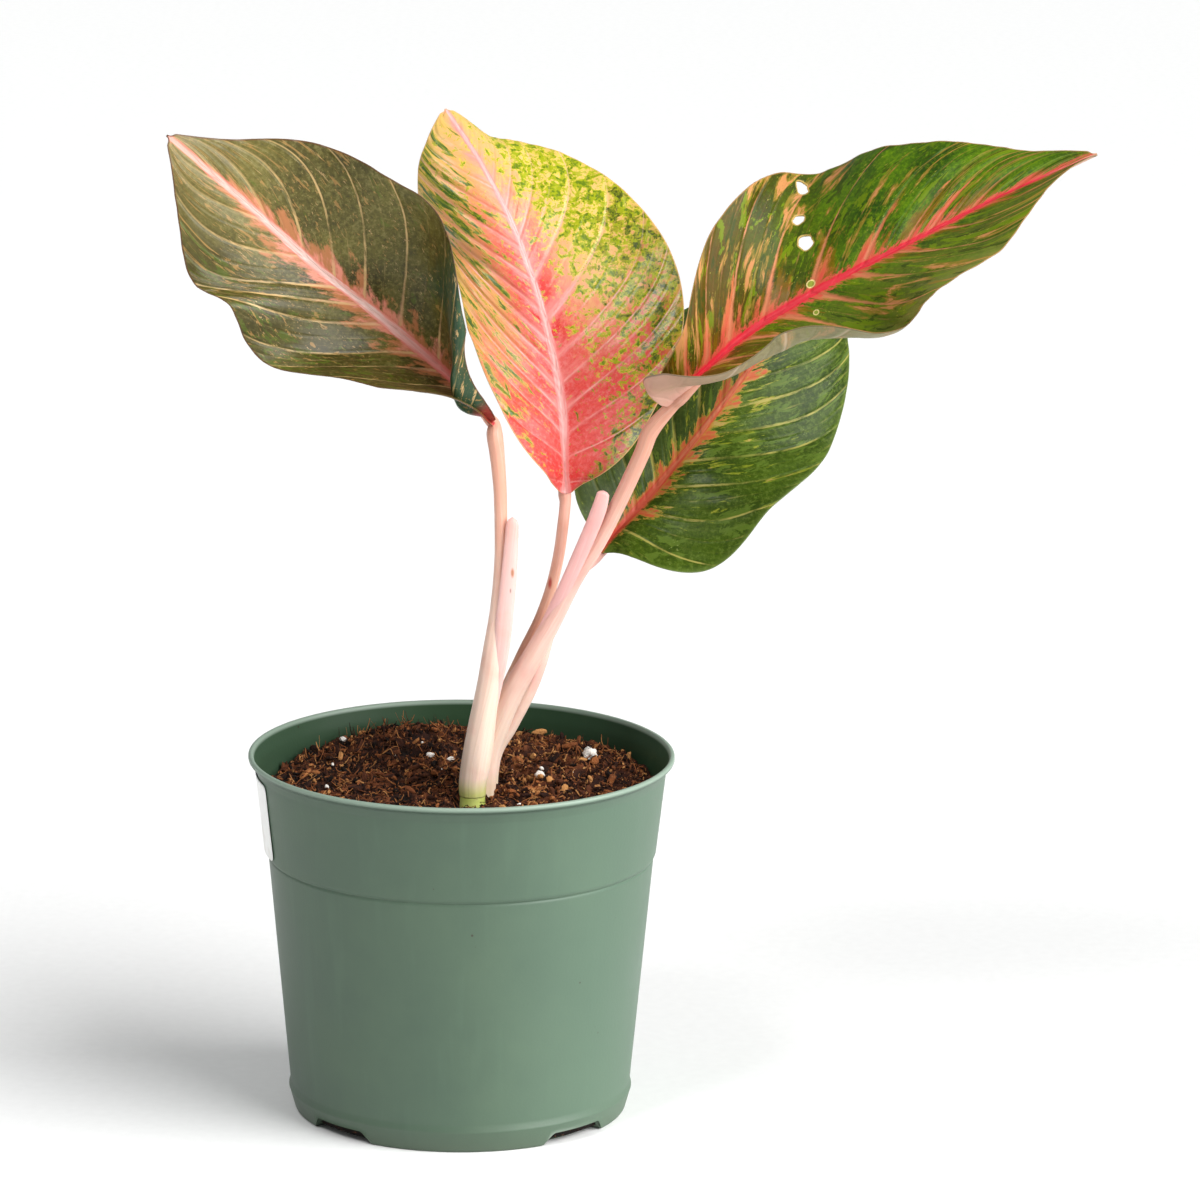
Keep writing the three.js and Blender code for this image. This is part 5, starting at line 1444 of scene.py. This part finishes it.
def tube(path, rings, sides, flatness=1.0, shape=None):
    """A tube: a smooth line through the path's points carries a ring whose first axis stays level and
    square to the line. A ring point lies at its radius times the cosine along that axis and times the sine
    and the flatness across it, and `shape` scales the radius by place along and round the tube."""
    path = np.asarray(path, float)
    stations = np.linspace(0, 1, len(path))
    t = np.linspace(0, 1, rings)
    line = curve(stations, path, t)
    ahead = curve(stations, path, np.minimum(t + 1e-3, 1))[:, :3]
    behind = curve(stations, path, np.maximum(t - 1e-3, 0))[:, :3]
    along = unit(ahead - behind)
    side = unit(np.cross((0.0, 1.0, 0.0), along))
    depth = np.cross(along, side)
    angle = np.linspace(0, 2 * np.pi, sides, endpoint=False)
    radius = line[:, 3:] * (np.ones(sides) if shape is None else shape(t[:, None], angle[None]))
    points = (
        line[:, None, :3]
        + side[:, None] * (radius * np.cos(angle))[..., None]
        + depth[:, None] * (radius * flatness * np.sin(angle))[..., None]
    )
    index = np.arange(rings * sides).reshape(rings, sides)
    faces = capped(index, index.size, index.size + 1)
    vertices = np.concatenate([points.reshape(-1, 3), line[:1, :3], line[-1:, :3]])
    run = np.concatenate([[0], np.cumsum(np.linalg.norm(np.diff(line[:, :3], axis=0), axis=1))])
    round_it = np.abs(angle - np.pi)[None] * line[:, 3:]
    uv = np.stack([round_it, np.repeat(run[:, None], sides, axis=1)], axis=-1).reshape(-1, 2)
    uv = np.concatenate([uv, [[0, 0], [0, run[-1]]]])
    return vertices, faces, uv


def joined(parts):
    """Several tubes as one list of points, faces and surface coordinates."""
    vertices, faces, uvs, start = [], [], [], 0
    for points, parts_faces, uv in parts:
        vertices.append(points)
        uvs.append(uv)
        faces.extend(part + start for part in parts_faces)
        start += len(points)
    return np.concatenate(vertices), faces, np.concatenate(uvs)


def midrib_frame(leaf, along):
    """The midrib's points and the directions along it, out of the blade's face and across it."""
    points = curve(MIDRIB_STATIONS, leaf["midrib"], along)
    ahead = curve(MIDRIB_STATIONS, leaf["midrib"], np.minimum(along + 1e-3, 1))
    behind = curve(MIDRIB_STATIONS, leaf["midrib"], np.maximum(along - 1e-3, 0))
    tangent = unit(ahead - behind)
    face = np.array(leaf["face"], float)
    face = unit(face - (tangent @ face)[:, None] * tangent)
    return points, tangent, face, np.cross(tangent, face)


def stalk_path(name):
    """A stalk's points, then its neck, then the stretch that runs into the rib under its blade: points
    that lie under the midrib by `sink` millimetres. Where no neck is given, it lies a little way back from
    the midrib's foot."""
    points, tangent, face, _ = midrib_frame(LEAVES[name], np.array([0.0, 0.03, 0.07, 0.12]))
    path = list(STALKS[name]["path"])
    path.append(
        STALKS[name]["neck"] or (
            *(points[0] - face[0] * STALK_SINK - tangent[0] * NECK_LENGTH), path[-1][3]
        )
    )
    for place, (sink, radius) in enumerate(STALK_ENDS):
        path.append((*(points[place] - face[place] * sink), radius))
    return path


def make_stalk(name, material):
    """A leaf stalk: a tube with shallow ridges and a flattened front, and its sheath's free wing, a thin
    flattened tube whose width falls to a rounded tip. `wing` is 0 on the stalk and 1 on the wing."""

    def ridged(t, angle):
        ridges = 0.012 * np.cos(9 * angle + 4 * t) + 0.01 * np.cos(14 * angle - 3 * t)
        return 1 + ridges - 0.03 * ease(-np.sin(angle), 0.6, 1.0)

    def winged(t, angle):
        tip = np.clip((1.0 - t) / 0.035, 0.001, 1) ** 0.4
        return tip * (1 + 0.05 * np.sin(9 * t + angle)) * np.ones_like(angle)

    parts = [tube(stalk_path(name), 150, 40, 1.0, ridged)]
    sheath = STALKS[name].get("sheath")
    if sheath:
        parts.append(tube(sheath, 90, 36, SHEATH_FLATNESS, winged))
    vertices, faces, uv = joined(parts)
    wing = np.concatenate([np.full(len(part[0]), float(place)) for place, part in enumerate(parts)])
    mesh_piece(f"leaf_stalk_{name}", vertices, faces, material, [f"stalk_{name}"], {"wing": wing}, uv)


def drawn_numbers(state):
    """Repeatable random numbers from 0 to 1: each state is 1664525 times the last plus 1013904223, modulo
    2^32."""
    while True:
        state = (state * 1664525 + 1013904223) % 4294967296
        yield state / 4294967296


def make_cane():
    """The cane and its main roots: a tapered tube whose radius swells at each leaf scar, and thin tubes
    that leave it low down, droop as the square of their length and grow thinner."""
    length = CANE_TOP - CANE_FOOT
    heights = np.linspace(0, 1, 9)
    path = [
        (CANE_X, CANE_Y, CANE_FOOT + length * t, CANE_RADIUS * (0.72 + 0.28 * min(t * 2.5, 1)))
        for t in heights
    ]

    def scarred(t, angle):
        ring = np.cos(2 * np.pi * (CANE_FOOT + length * t - RING_START) / RING_EVERY)
        crown = 1 - 0.06 * ease(t, 0.97, 1.0)
        return (0.965 + 0.035 * ring * ring * np.sign(ring)) * crown * (1 + 0.012 * np.cos(5 * angle))

    parts = [tube(path, 160, 44, 1.0, scarred)]
    draw = drawn_numbers(11)
    for k in range(ROOT_COUNT):
        heading = 2 * math.pi * (k + 0.5 * next(draw)) / ROOT_COUNT
        start = CANE_FOOT + 5 + 22 * next(draw)
        reach = ROOT_LENGTH * (0.75 + 0.35 * next(draw))
        line = []
        for i in range(5):
            t = i / 4
            out = reach * t * (1 - 0.25 * t)
            bend = heading + 0.7 * t * (next(draw) - 0.5)
            radius = ROOT_RADII[0] + (ROOT_RADII[1] - ROOT_RADII[0]) * t
            line.append(
                (
                    CANE_X + out * math.cos(bend), CANE_Y + out * math.sin(bend),
                    start - 0.85 * reach * t * t, radius,
                )
            )
        parts.append(
            tube(line, 40, 14, 1.0, lambda t, angle: (1 + 0.06 * np.sin(31 * t)) * np.ones_like(angle))
        )
    vertices, faces, uv = joined(parts)
    mesh_piece("cane_with_roots", vertices, faces, cane_skin(), ["cane_and_roots"], uv=uv)


# ---------------------------------------------------------------- blades


def rib_surface(leaf, half, side, along, shares):
    """One half of a blade. From each midrib point a rib of length `reach` is walked out in short steps. At
    share s of the rib its lift above the blade's plane is lean + curl s + roll ease(s) + pleat exp(-((s -
    pleat_at) / width)^2), and it points towards the tip by sweep + arch s, all in degrees. Returns the
    points at the wanted shares, and the ribs' lengths."""
    points, tangent, face, across = midrib_frame(leaf, along)
    value = {key: curve(RIB_STATIONS, half[key], along) for key in half if key != "veins"}
    s = (np.arange(RIB_STEPS) + 0.5)[None] / RIB_STEPS
    lift = value["lean"] + value["curl"] * s
    if "roll" in value:
        lift = lift + value["roll"] * ease(s, ROLL_FROM, 1)
    if "pleat" in value:
        lift = lift + value["pleat"] * np.exp(-(((s - value["pleat_at"]) / PLEAT_WIDTH) ** 2))
    lift = np.radians(lift)
    forward = np.radians(value["sweep"] + RIB_ARCH * s)
    step = (
        (side * np.cos(lift) * np.cos(forward))[..., None] * across[:, None]
        + (np.cos(lift) * np.sin(forward))[..., None] * tangent[:, None]
        + np.sin(lift)[..., None] * face[:, None]
    )
    walk = np.concatenate([np.zeros((len(along), 1, 3)), np.cumsum(step, axis=1) / RIB_STEPS], axis=1)
    reach = value["reach"] * (1 - 0.6 * ease(along, 0.975, 1.0))[:, None]
    at = shares * RIB_STEPS
    low = np.clip(np.floor(at).astype(int), 0, RIB_STEPS - 1)
    part = (at - low)[None, :, None]
    grid = walk[:, low] * (1 - part) + walk[:, low + 1] * part
    return points[:, None] + reach[..., None] * grid, reach


def vein_phase(along, share, drift, veins):
    """Numbers the side veins from foot to tip: a rib point is carried back to the midrib by the way veins
    drift forward (a part that grows with the share, one with its fifth power and one near the foot only,
    all fading to nothing at the foot), and the place where it lands is read against the list of veins."""
    far = drift[0] * share + drift[1] * share**5 + drift[2] * share**0.7 * ease(along, 0.34, 0.14)
    back = along - far * along / (along + 1.2 * far + 1e-6)
    return np.interp(back, veins, np.arange(len(veins)))


def middle_surface(leaf, along, shares):
    """The surface halfway through a blade, from the left margin to the right one: its points, the length
    of the rib that each lies on, its vein number, and its share of the rib, negative on the left. The fold
    along the midrib is rounded: each point moves towards the mean of its two neighbours across the leaf,
    by half the way at the midrib and less beside it, and again."""
    halves = []
    for side, key in ((-1, "left_half"), (1, "right_half")):
        points, reach = rib_surface(leaf, leaf[key], side, along, shares)
        phase = vein_phase(along[:, None], shares[None], leaf["drift"], leaf[key]["veins"])
        halves.append((points, np.repeat(reach, len(shares), axis=1), phase))
    middle, reach, phase = (
        np.concatenate([left[:, ::-1], right[:, 1:]], axis=1) for left, right in zip(*halves)
    )
    share = np.concatenate([-shares[::-1], shares[1:]])[None] * np.ones((len(along), 1))
    from_midrib = np.arange(1, share.shape[1] - 1) - HALF_COLUMNS
    pull = 0.5 * np.exp(-((from_midrib / FOLD_COLUMNS) ** 2))[None, :, None]
    for _ in range(FOLD_PASSES):
        mean = (middle[:, :-2] + middle[:, 2:]) / 2
        middle[:, 1:-1] += pull * (mean - middle[:, 1:-1])
    return middle, reach, phase, share


def normal_and_gap(middle, along, phase):
    """The surface's normals, and the local distance between its side veins: one over how fast the vein
    number grows over the surface."""
    by_row = np.gradient(middle, along, axis=0)
    by_column = np.gradient(middle, axis=1)
    phase_row = np.gradient(phase, along, axis=0)
    phase_column = np.gradient(phase, axis=1)
    e, f, g = (by_row**2).sum(-1), (by_row * by_column).sum(-1), (by_column**2).sum(-1)
    steep = g * phase_row**2 - 2 * f * phase_row * phase_column + e * phase_column**2
    steep = steep / np.maximum(e * g - f * f, 1e-9)
    gap = np.clip(1 / np.sqrt(np.maximum(steep, 1e-9)), *VEIN_GAPS)
    return unit(np.cross(by_column, by_row)), gap


def corners_of(cells):
    """The grid points at the corners of marked cells."""
    rows, columns = cells.shape
    marked = np.zeros((rows + 1, columns + 1), bool)
    for down in (0, 1):
        for over in (0, 1):
            marked[down : down + rows, over : over + columns] |= cells
    return marked


def worn_through(leaf, middle, holes, upper, under):
    """Holes worn through the left half. Each is a circle round a point of the blade, seen square to its
    face, whose radius waves twice and five times round. The cells whose corners lie within it on the whole
    go, and the points at their rim move onto the circle. Returns the two faces' points, the distance to a
    hole, and the cells kept."""
    worn = np.full(middle.shape[:2], FAR)
    kept = np.ones((middle.shape[0] - 1, middle.shape[1] - 1), bool)
    for hole_along, hole_out, hole_size in holes:
        centre = rib_surface(
            leaf, leaf["left_half"], -1, np.array([hole_along]), np.array([hole_out])
        )[0][0, 0]
        offset = middle - centre
        flat = midrib_frame(leaf, np.array([hole_along]))[2][0]
        side = unit(np.cross((0.0, 0.0, 1.0), flat))
        up = np.cross(flat, side)
        angle = np.arctan2(offset @ up, offset @ side)
        bound = hole_size * (
            1 + 0.16 * np.sin(2 * angle + 40 * hole_out) + 0.06 * np.sin(5 * angle + 3 * hole_out)
        )
        away = np.linalg.norm(offset, axis=-1)
        worn = np.minimum(worn, np.abs(away - bound))
        inside = away - bound
        gone = inside[:-1, :-1] + inside[1:, 1:] < 0
        kept &= ~gone
        near = away[:-1, :-1] < hole_size * 2.5
        rim = corners_of(gone) & corners_of(~gone & near)
        shift = np.where(rim, bound / np.maximum(away, 1e-6) - 1, 0)[..., None] * offset
        upper, under = upper + shift, under + shift
        worn = np.where(rim, 0.0, worn)
    return upper, under, worn, kept


def ring_distance(leaf, middle, spots):
    """Distance from the nearest ring spot's middle, as a share of its size."""
    spot = np.full(middle.shape[:2], FAR)
    for key, spot_along, spot_out, spot_size in spots:
        side = -1 if key == "left_half" else 1
        centre = rib_surface(leaf, leaf[key], side, np.array([spot_along]), np.array([spot_out]))[0][0, 0]
        spot = np.minimum(spot, np.linalg.norm(middle - centre, axis=-1) / spot_size)
    return spot


def blade_faces(top, kept):
    """Faces of a blade. Its points are numbered as the upper face, the under face, then one rounded edge
    line down each margin. Where a cell is gone, a wall joins the two faces round the hole."""
    count = top.size
    low = top + count
    left, right = 2 * count + np.arange(2 * len(top)).reshape(2, -1)
    keep = kept.reshape(-1)
    faces = [
        quads(top)[keep],
        quads(low)[keep][:, ::-1],
        quads(np.stack([low[:, 0], left, top[:, 0]], axis=-1)),
        quads(np.stack([top[:, -1], right, low[:, -1]], axis=-1)),
        quads(np.stack([low[0], top[0]])),
        quads(np.stack([top[-1], low[-1]])),
        np.array([[low[0, 0], top[0, 0], left[0]], [top[0, -1], low[0, -1], right[0]]]),
        np.array([[top[-1, 0], low[-1, 0], left[-1]], [low[-1, -1], top[-1, -1], right[-1]]]),
    ]
    padded = np.pad(kept, 1, constant_values=True)
    for down, over, first, second in (
        (-1, 0, (0, 0), (0, 1)), (1, 0, (1, 1), (1, 0)), (0, -1, (1, 0), (0, 0)), (0, 1, (0, 1), (1, 1)),
    ):
        beside = padded[1 + down : 1 + down + kept.shape[0], 1 + over : 1 + over + kept.shape[1]]
        row, column = np.nonzero(kept & ~beside)
        a, b = (top[row + corner[0], column + corner[1]] for corner in (first, second))
        faces.append(np.stack([b, a, a + count, b + count], axis=-1))
    return faces


def make_blade(name, look, holes=(), spots=()):
    """A leaf blade. Both halves' ribs make a middle surface, which is quilted between the side veins,
    waved along its margins and softly uneven. The upper and the lower face lie half the thickness off it,
    thinner towards the margin, joined by a rounded edge. A round rib stands out of the underside, and a
    low one out of the top."""
    leaf = LEAVES[name]
    along = (np.arange(BLADE_ROWS + 1) / BLADE_ROWS) ** ROW_CROWDING
    shares = (np.arange(HALF_COLUMNS + 1) / HALF_COLUMNS) ** ROW_CROWDING
    middle, reach, phase, share = middle_surface(leaf, along, shares)
    rows = along[:, None] * np.ones_like(share)
    out = np.abs(share)
    across = share * reach
    distance = np.abs(across)
    margin = (1 - out) * reach
    face = midrib_frame(leaf, along)[2][:, None]
    normal, gap = normal_and_gap(middle, along, phase)

    quilt = leaf["quilt"] * (np.sin(np.pi * phase) ** 2 - 0.5) * ease(distance, 1.5, 9)
    quilt = quilt * ease(margin, 0.5, 9) * ease(rows, 0.02, 0.15) * ease(rows, 1.0, 0.8)
    uneven = 0.3 * soft_noise(middle, 14.0, 71) + 0.1 * soft_noise(middle, 5.0, 72)
    side = np.where(share < 0, -1.0, 1.0)
    wave = PUCKER * np.sin(np.pi * rows) * np.sin(2 * np.pi * PUCKER_COUNT * rows + side)
    ripple = RIPPLE * np.sin(np.pi * rows) * np.sin(2 * np.pi * RIPPLE_COUNT * rows + 2.4 * side)
    middle = middle + face * (wave * out**3 + ripple * out**6)[..., None]
    middle = middle + normal * (quilt + uneven * ease(rows, 0.0, 0.1))[..., None]

    radius = MIDRIB_RADII[1] + (MIDRIB_RADII[0] - MIDRIB_RADII[1]) * (1 - rows) ** 1.5
    thick = BLADE_THICKNESS * (0.45 + 0.55 * ease(margin, 0.0, 4.0))
    proud = MIDRIB_PROUD * (1 - rows) ** 0.5 * np.exp(-((distance / (0.8 * radius)) ** 2))
    rib = 1.5 * radius * np.sqrt(np.clip(1 - (distance / (1.05 * radius)) ** 2, 0, 1))
    upper = middle + normal * (thick / 2 + proud)[..., None]
    under = middle - normal * (thick / 2)[..., None] - face * rib[..., None]
    upper, under, worn, kept = worn_through(leaf, middle, holes, upper, under)
    spot = ring_distance(leaf, middle, spots)

    lines = []
    for column, inner in ((0, 1), (-1, -2)):
        outward = unit(middle[:, column] - middle[:, inner])
        lines.append((upper[:, column] + under[:, column]) / 2 + outward * EDGE_PROUD)
    vertices = np.concatenate([upper.reshape(-1, 3), under.reshape(-1, 3), *lines])
    faces = blade_faces(np.arange(share.size).reshape(share.shape), kept)

    def everywhere(*layers):
        flat = np.stack(layers, axis=-1)
        return np.concatenate([flat.reshape(-1, 3), flat.reshape(-1, 3), flat[:, 0], flat[:, -1]])

    below = np.concatenate([np.zeros(share.size), np.ones(share.size), np.full(2 * len(along), 0.5)])
    marks = everywhere(worn, worn, spot)
    marks[:, 0] = below
    attributes = {
        "ribs": everywhere(phase, gap, out), "place": everywhere(rows, across, margin), "marks": marks
    }
    mesh_piece(
        f"leaf_blade_{name}", vertices, faces, blade_finish(look), [f"blade_{name}"], attributes
    )


# ---------------------------------------------------------------- the object

make_pot()
make_label()
peat = moist_peat()
make_mix_body(peat)
make_crumbs("mix_crumbs", peat, 1700, 0.65, 1.8, ball(4, 7), 31)
make_crumbs("fine_crumbs", peat, 6500, 0.4, 0.9, ball(2, 5), 34)
make_bark(peat)
make_perlite()
make_fibres(peat)
make_cane()

cream_petiole = fresh_petiole(
    "cream_petiole_skin", "#e9cfbc", "#ebc8b6", "#dca28a", (128, 175, 236), "#e0a08c", "#eebcb8",
    marks=(
        (18.2, -11.4, 203.0, 0.8, "#a4683a"), (17.6, -12.2, 196.6, 0.5, "#5c3020"),
        (4.4, -15.2, 140.0, 0.5, "#5c4030"),
    ),
    green=0.85,
)
# The pink stalks' top colour is their pink flush darkened by painted shade.
pink_petiole = fresh_petiole(
    "pink_petiole_skin", "#e6ccba", "#e6b4a6", "#cf967e", (135, 190, 262), "#dc9690", "#e8aeac",
)
tan_petiole = fresh_petiole(
    "tan_petiole_skin", "#e0c4a8", "#dcac92", "#e2a894", (130, 165, 222), "#cc8c72", "#e0b0a0",
    marks=((31.6, 3.2, 196.0, 1.0, "#b8382c"),),
)
make_stalk("left", cream_petiole)
make_stalk("middle", tan_petiole)
make_stalk("right", pink_petiole)
make_stalk("back", pink_petiole)

make_blade("left", BRONZE)
make_blade("middle", CORAL)
make_blade("right", LIME, WORN_HOLES, RING_SPOTS)
make_blade("back", DEEP_GREEN)

# ---------------------------------------------------------------- floor, light and camera

FLOOR_HALF_WIDTH = 9000.0
CAMERA_PLACE = (0.0498, -2.809, 0.882)
CAMERA_PITCH, CAMERA_ROLL = 13.83, 0.49
LENS, SENSOR = 240.0, 36.0
ROOM_LIGHT = 0.3


def make_floor():
    """A wide level board, one grid of faces, that the pot stands on."""
    line = np.linspace(-FLOOR_HALF_WIDTH, FLOOR_HALF_WIDTH, 3)
    x, y = np.meshgrid(line, line)
    points = np.stack([x, y, np.zeros_like(x)], axis=-1).reshape(-1, 3)
    mesh = bpy.data.meshes.new("studio_floor")
    mesh.from_pydata((points * MM).tolist(), [], quads(np.arange(9).reshape(3, 3)).tolist())
    mesh.materials.append(studio_board())
    floor = bpy.data.objects.new("studio_floor", mesh)
    bpy.context.scene.collection.objects.link(floor)


def make_light(name, kind, place, aim, power, **form):
    """A light turned to its aim. A square area light is a softbox; a sun with a wide angle is a panel that
    many degrees wide, the same all over the floor."""
    lamp = bpy.data.lights.new(name, kind)
    lamp.energy = power
    for key, value in form.items():
        setattr(lamp, key, value)
    holder = bpy.data.objects.new(name, lamp)
    holder.location = place
    holder.rotation_euler = (Vector(aim) - Vector(place)).to_track_quat("-Z", "Y").to_euler()
    bpy.context.scene.collection.objects.link(holder)


def make_camera():
    """The photograph's view: 2.8 m away in front and 0.88 m up, looking 13.8 degrees down through a long
    lens, with the horizon turned by half a degree."""
    pitch, roll = math.radians(CAMERA_PITCH), math.radians(CAMERA_ROLL)
    ahead = Vector((0, math.cos(pitch), -math.sin(pitch)))
    up = Vector((0, math.sin(pitch), math.cos(pitch)))
    right = Vector((1, 0, 0))
    turned_right = math.cos(roll) * right + math.sin(roll) * up
    turned_up = -math.sin(roll) * right + math.cos(roll) * up
    lens = bpy.data.cameras.new("camera")
    lens.lens = LENS
    lens.sensor_width = SENSOR
    lens.sensor_fit = "HORIZONTAL"
    lens.clip_end = 60.0
    camera = bpy.data.objects.new("camera", lens)
    turn = Matrix((turned_right, turned_up, -ahead)).transposed().to_4x4()
    camera.matrix_world = Matrix.Translation(CAMERA_PLACE) @ turn
    bpy.context.scene.collection.objects.link(camera)
    bpy.context.scene.camera = camera


make_floor()
make_light("right_panel", "SUN", (2.34, -1.26, 1.5), (0, 0, 0), 5.2, angle=math.radians(60))
make_light("front_softbox", "AREA", (-0.7, -1.1, 1.9), (0.03, 0.0, 0.25), 16.0, shape="SQUARE", size=0.55)
make_camera()

world = bpy.data.worlds.new("bright_room")
world.use_nodes = True
world.node_tree.nodes["Background"].inputs["Color"].default_value = hex_colour("#f4f6f8")
world.node_tree.nodes["Background"].inputs["Strength"].default_value = ROOM_LIGHT
bpy.context.scene.world = world
bpy.context.scene.view_settings.view_transform = "Standard"
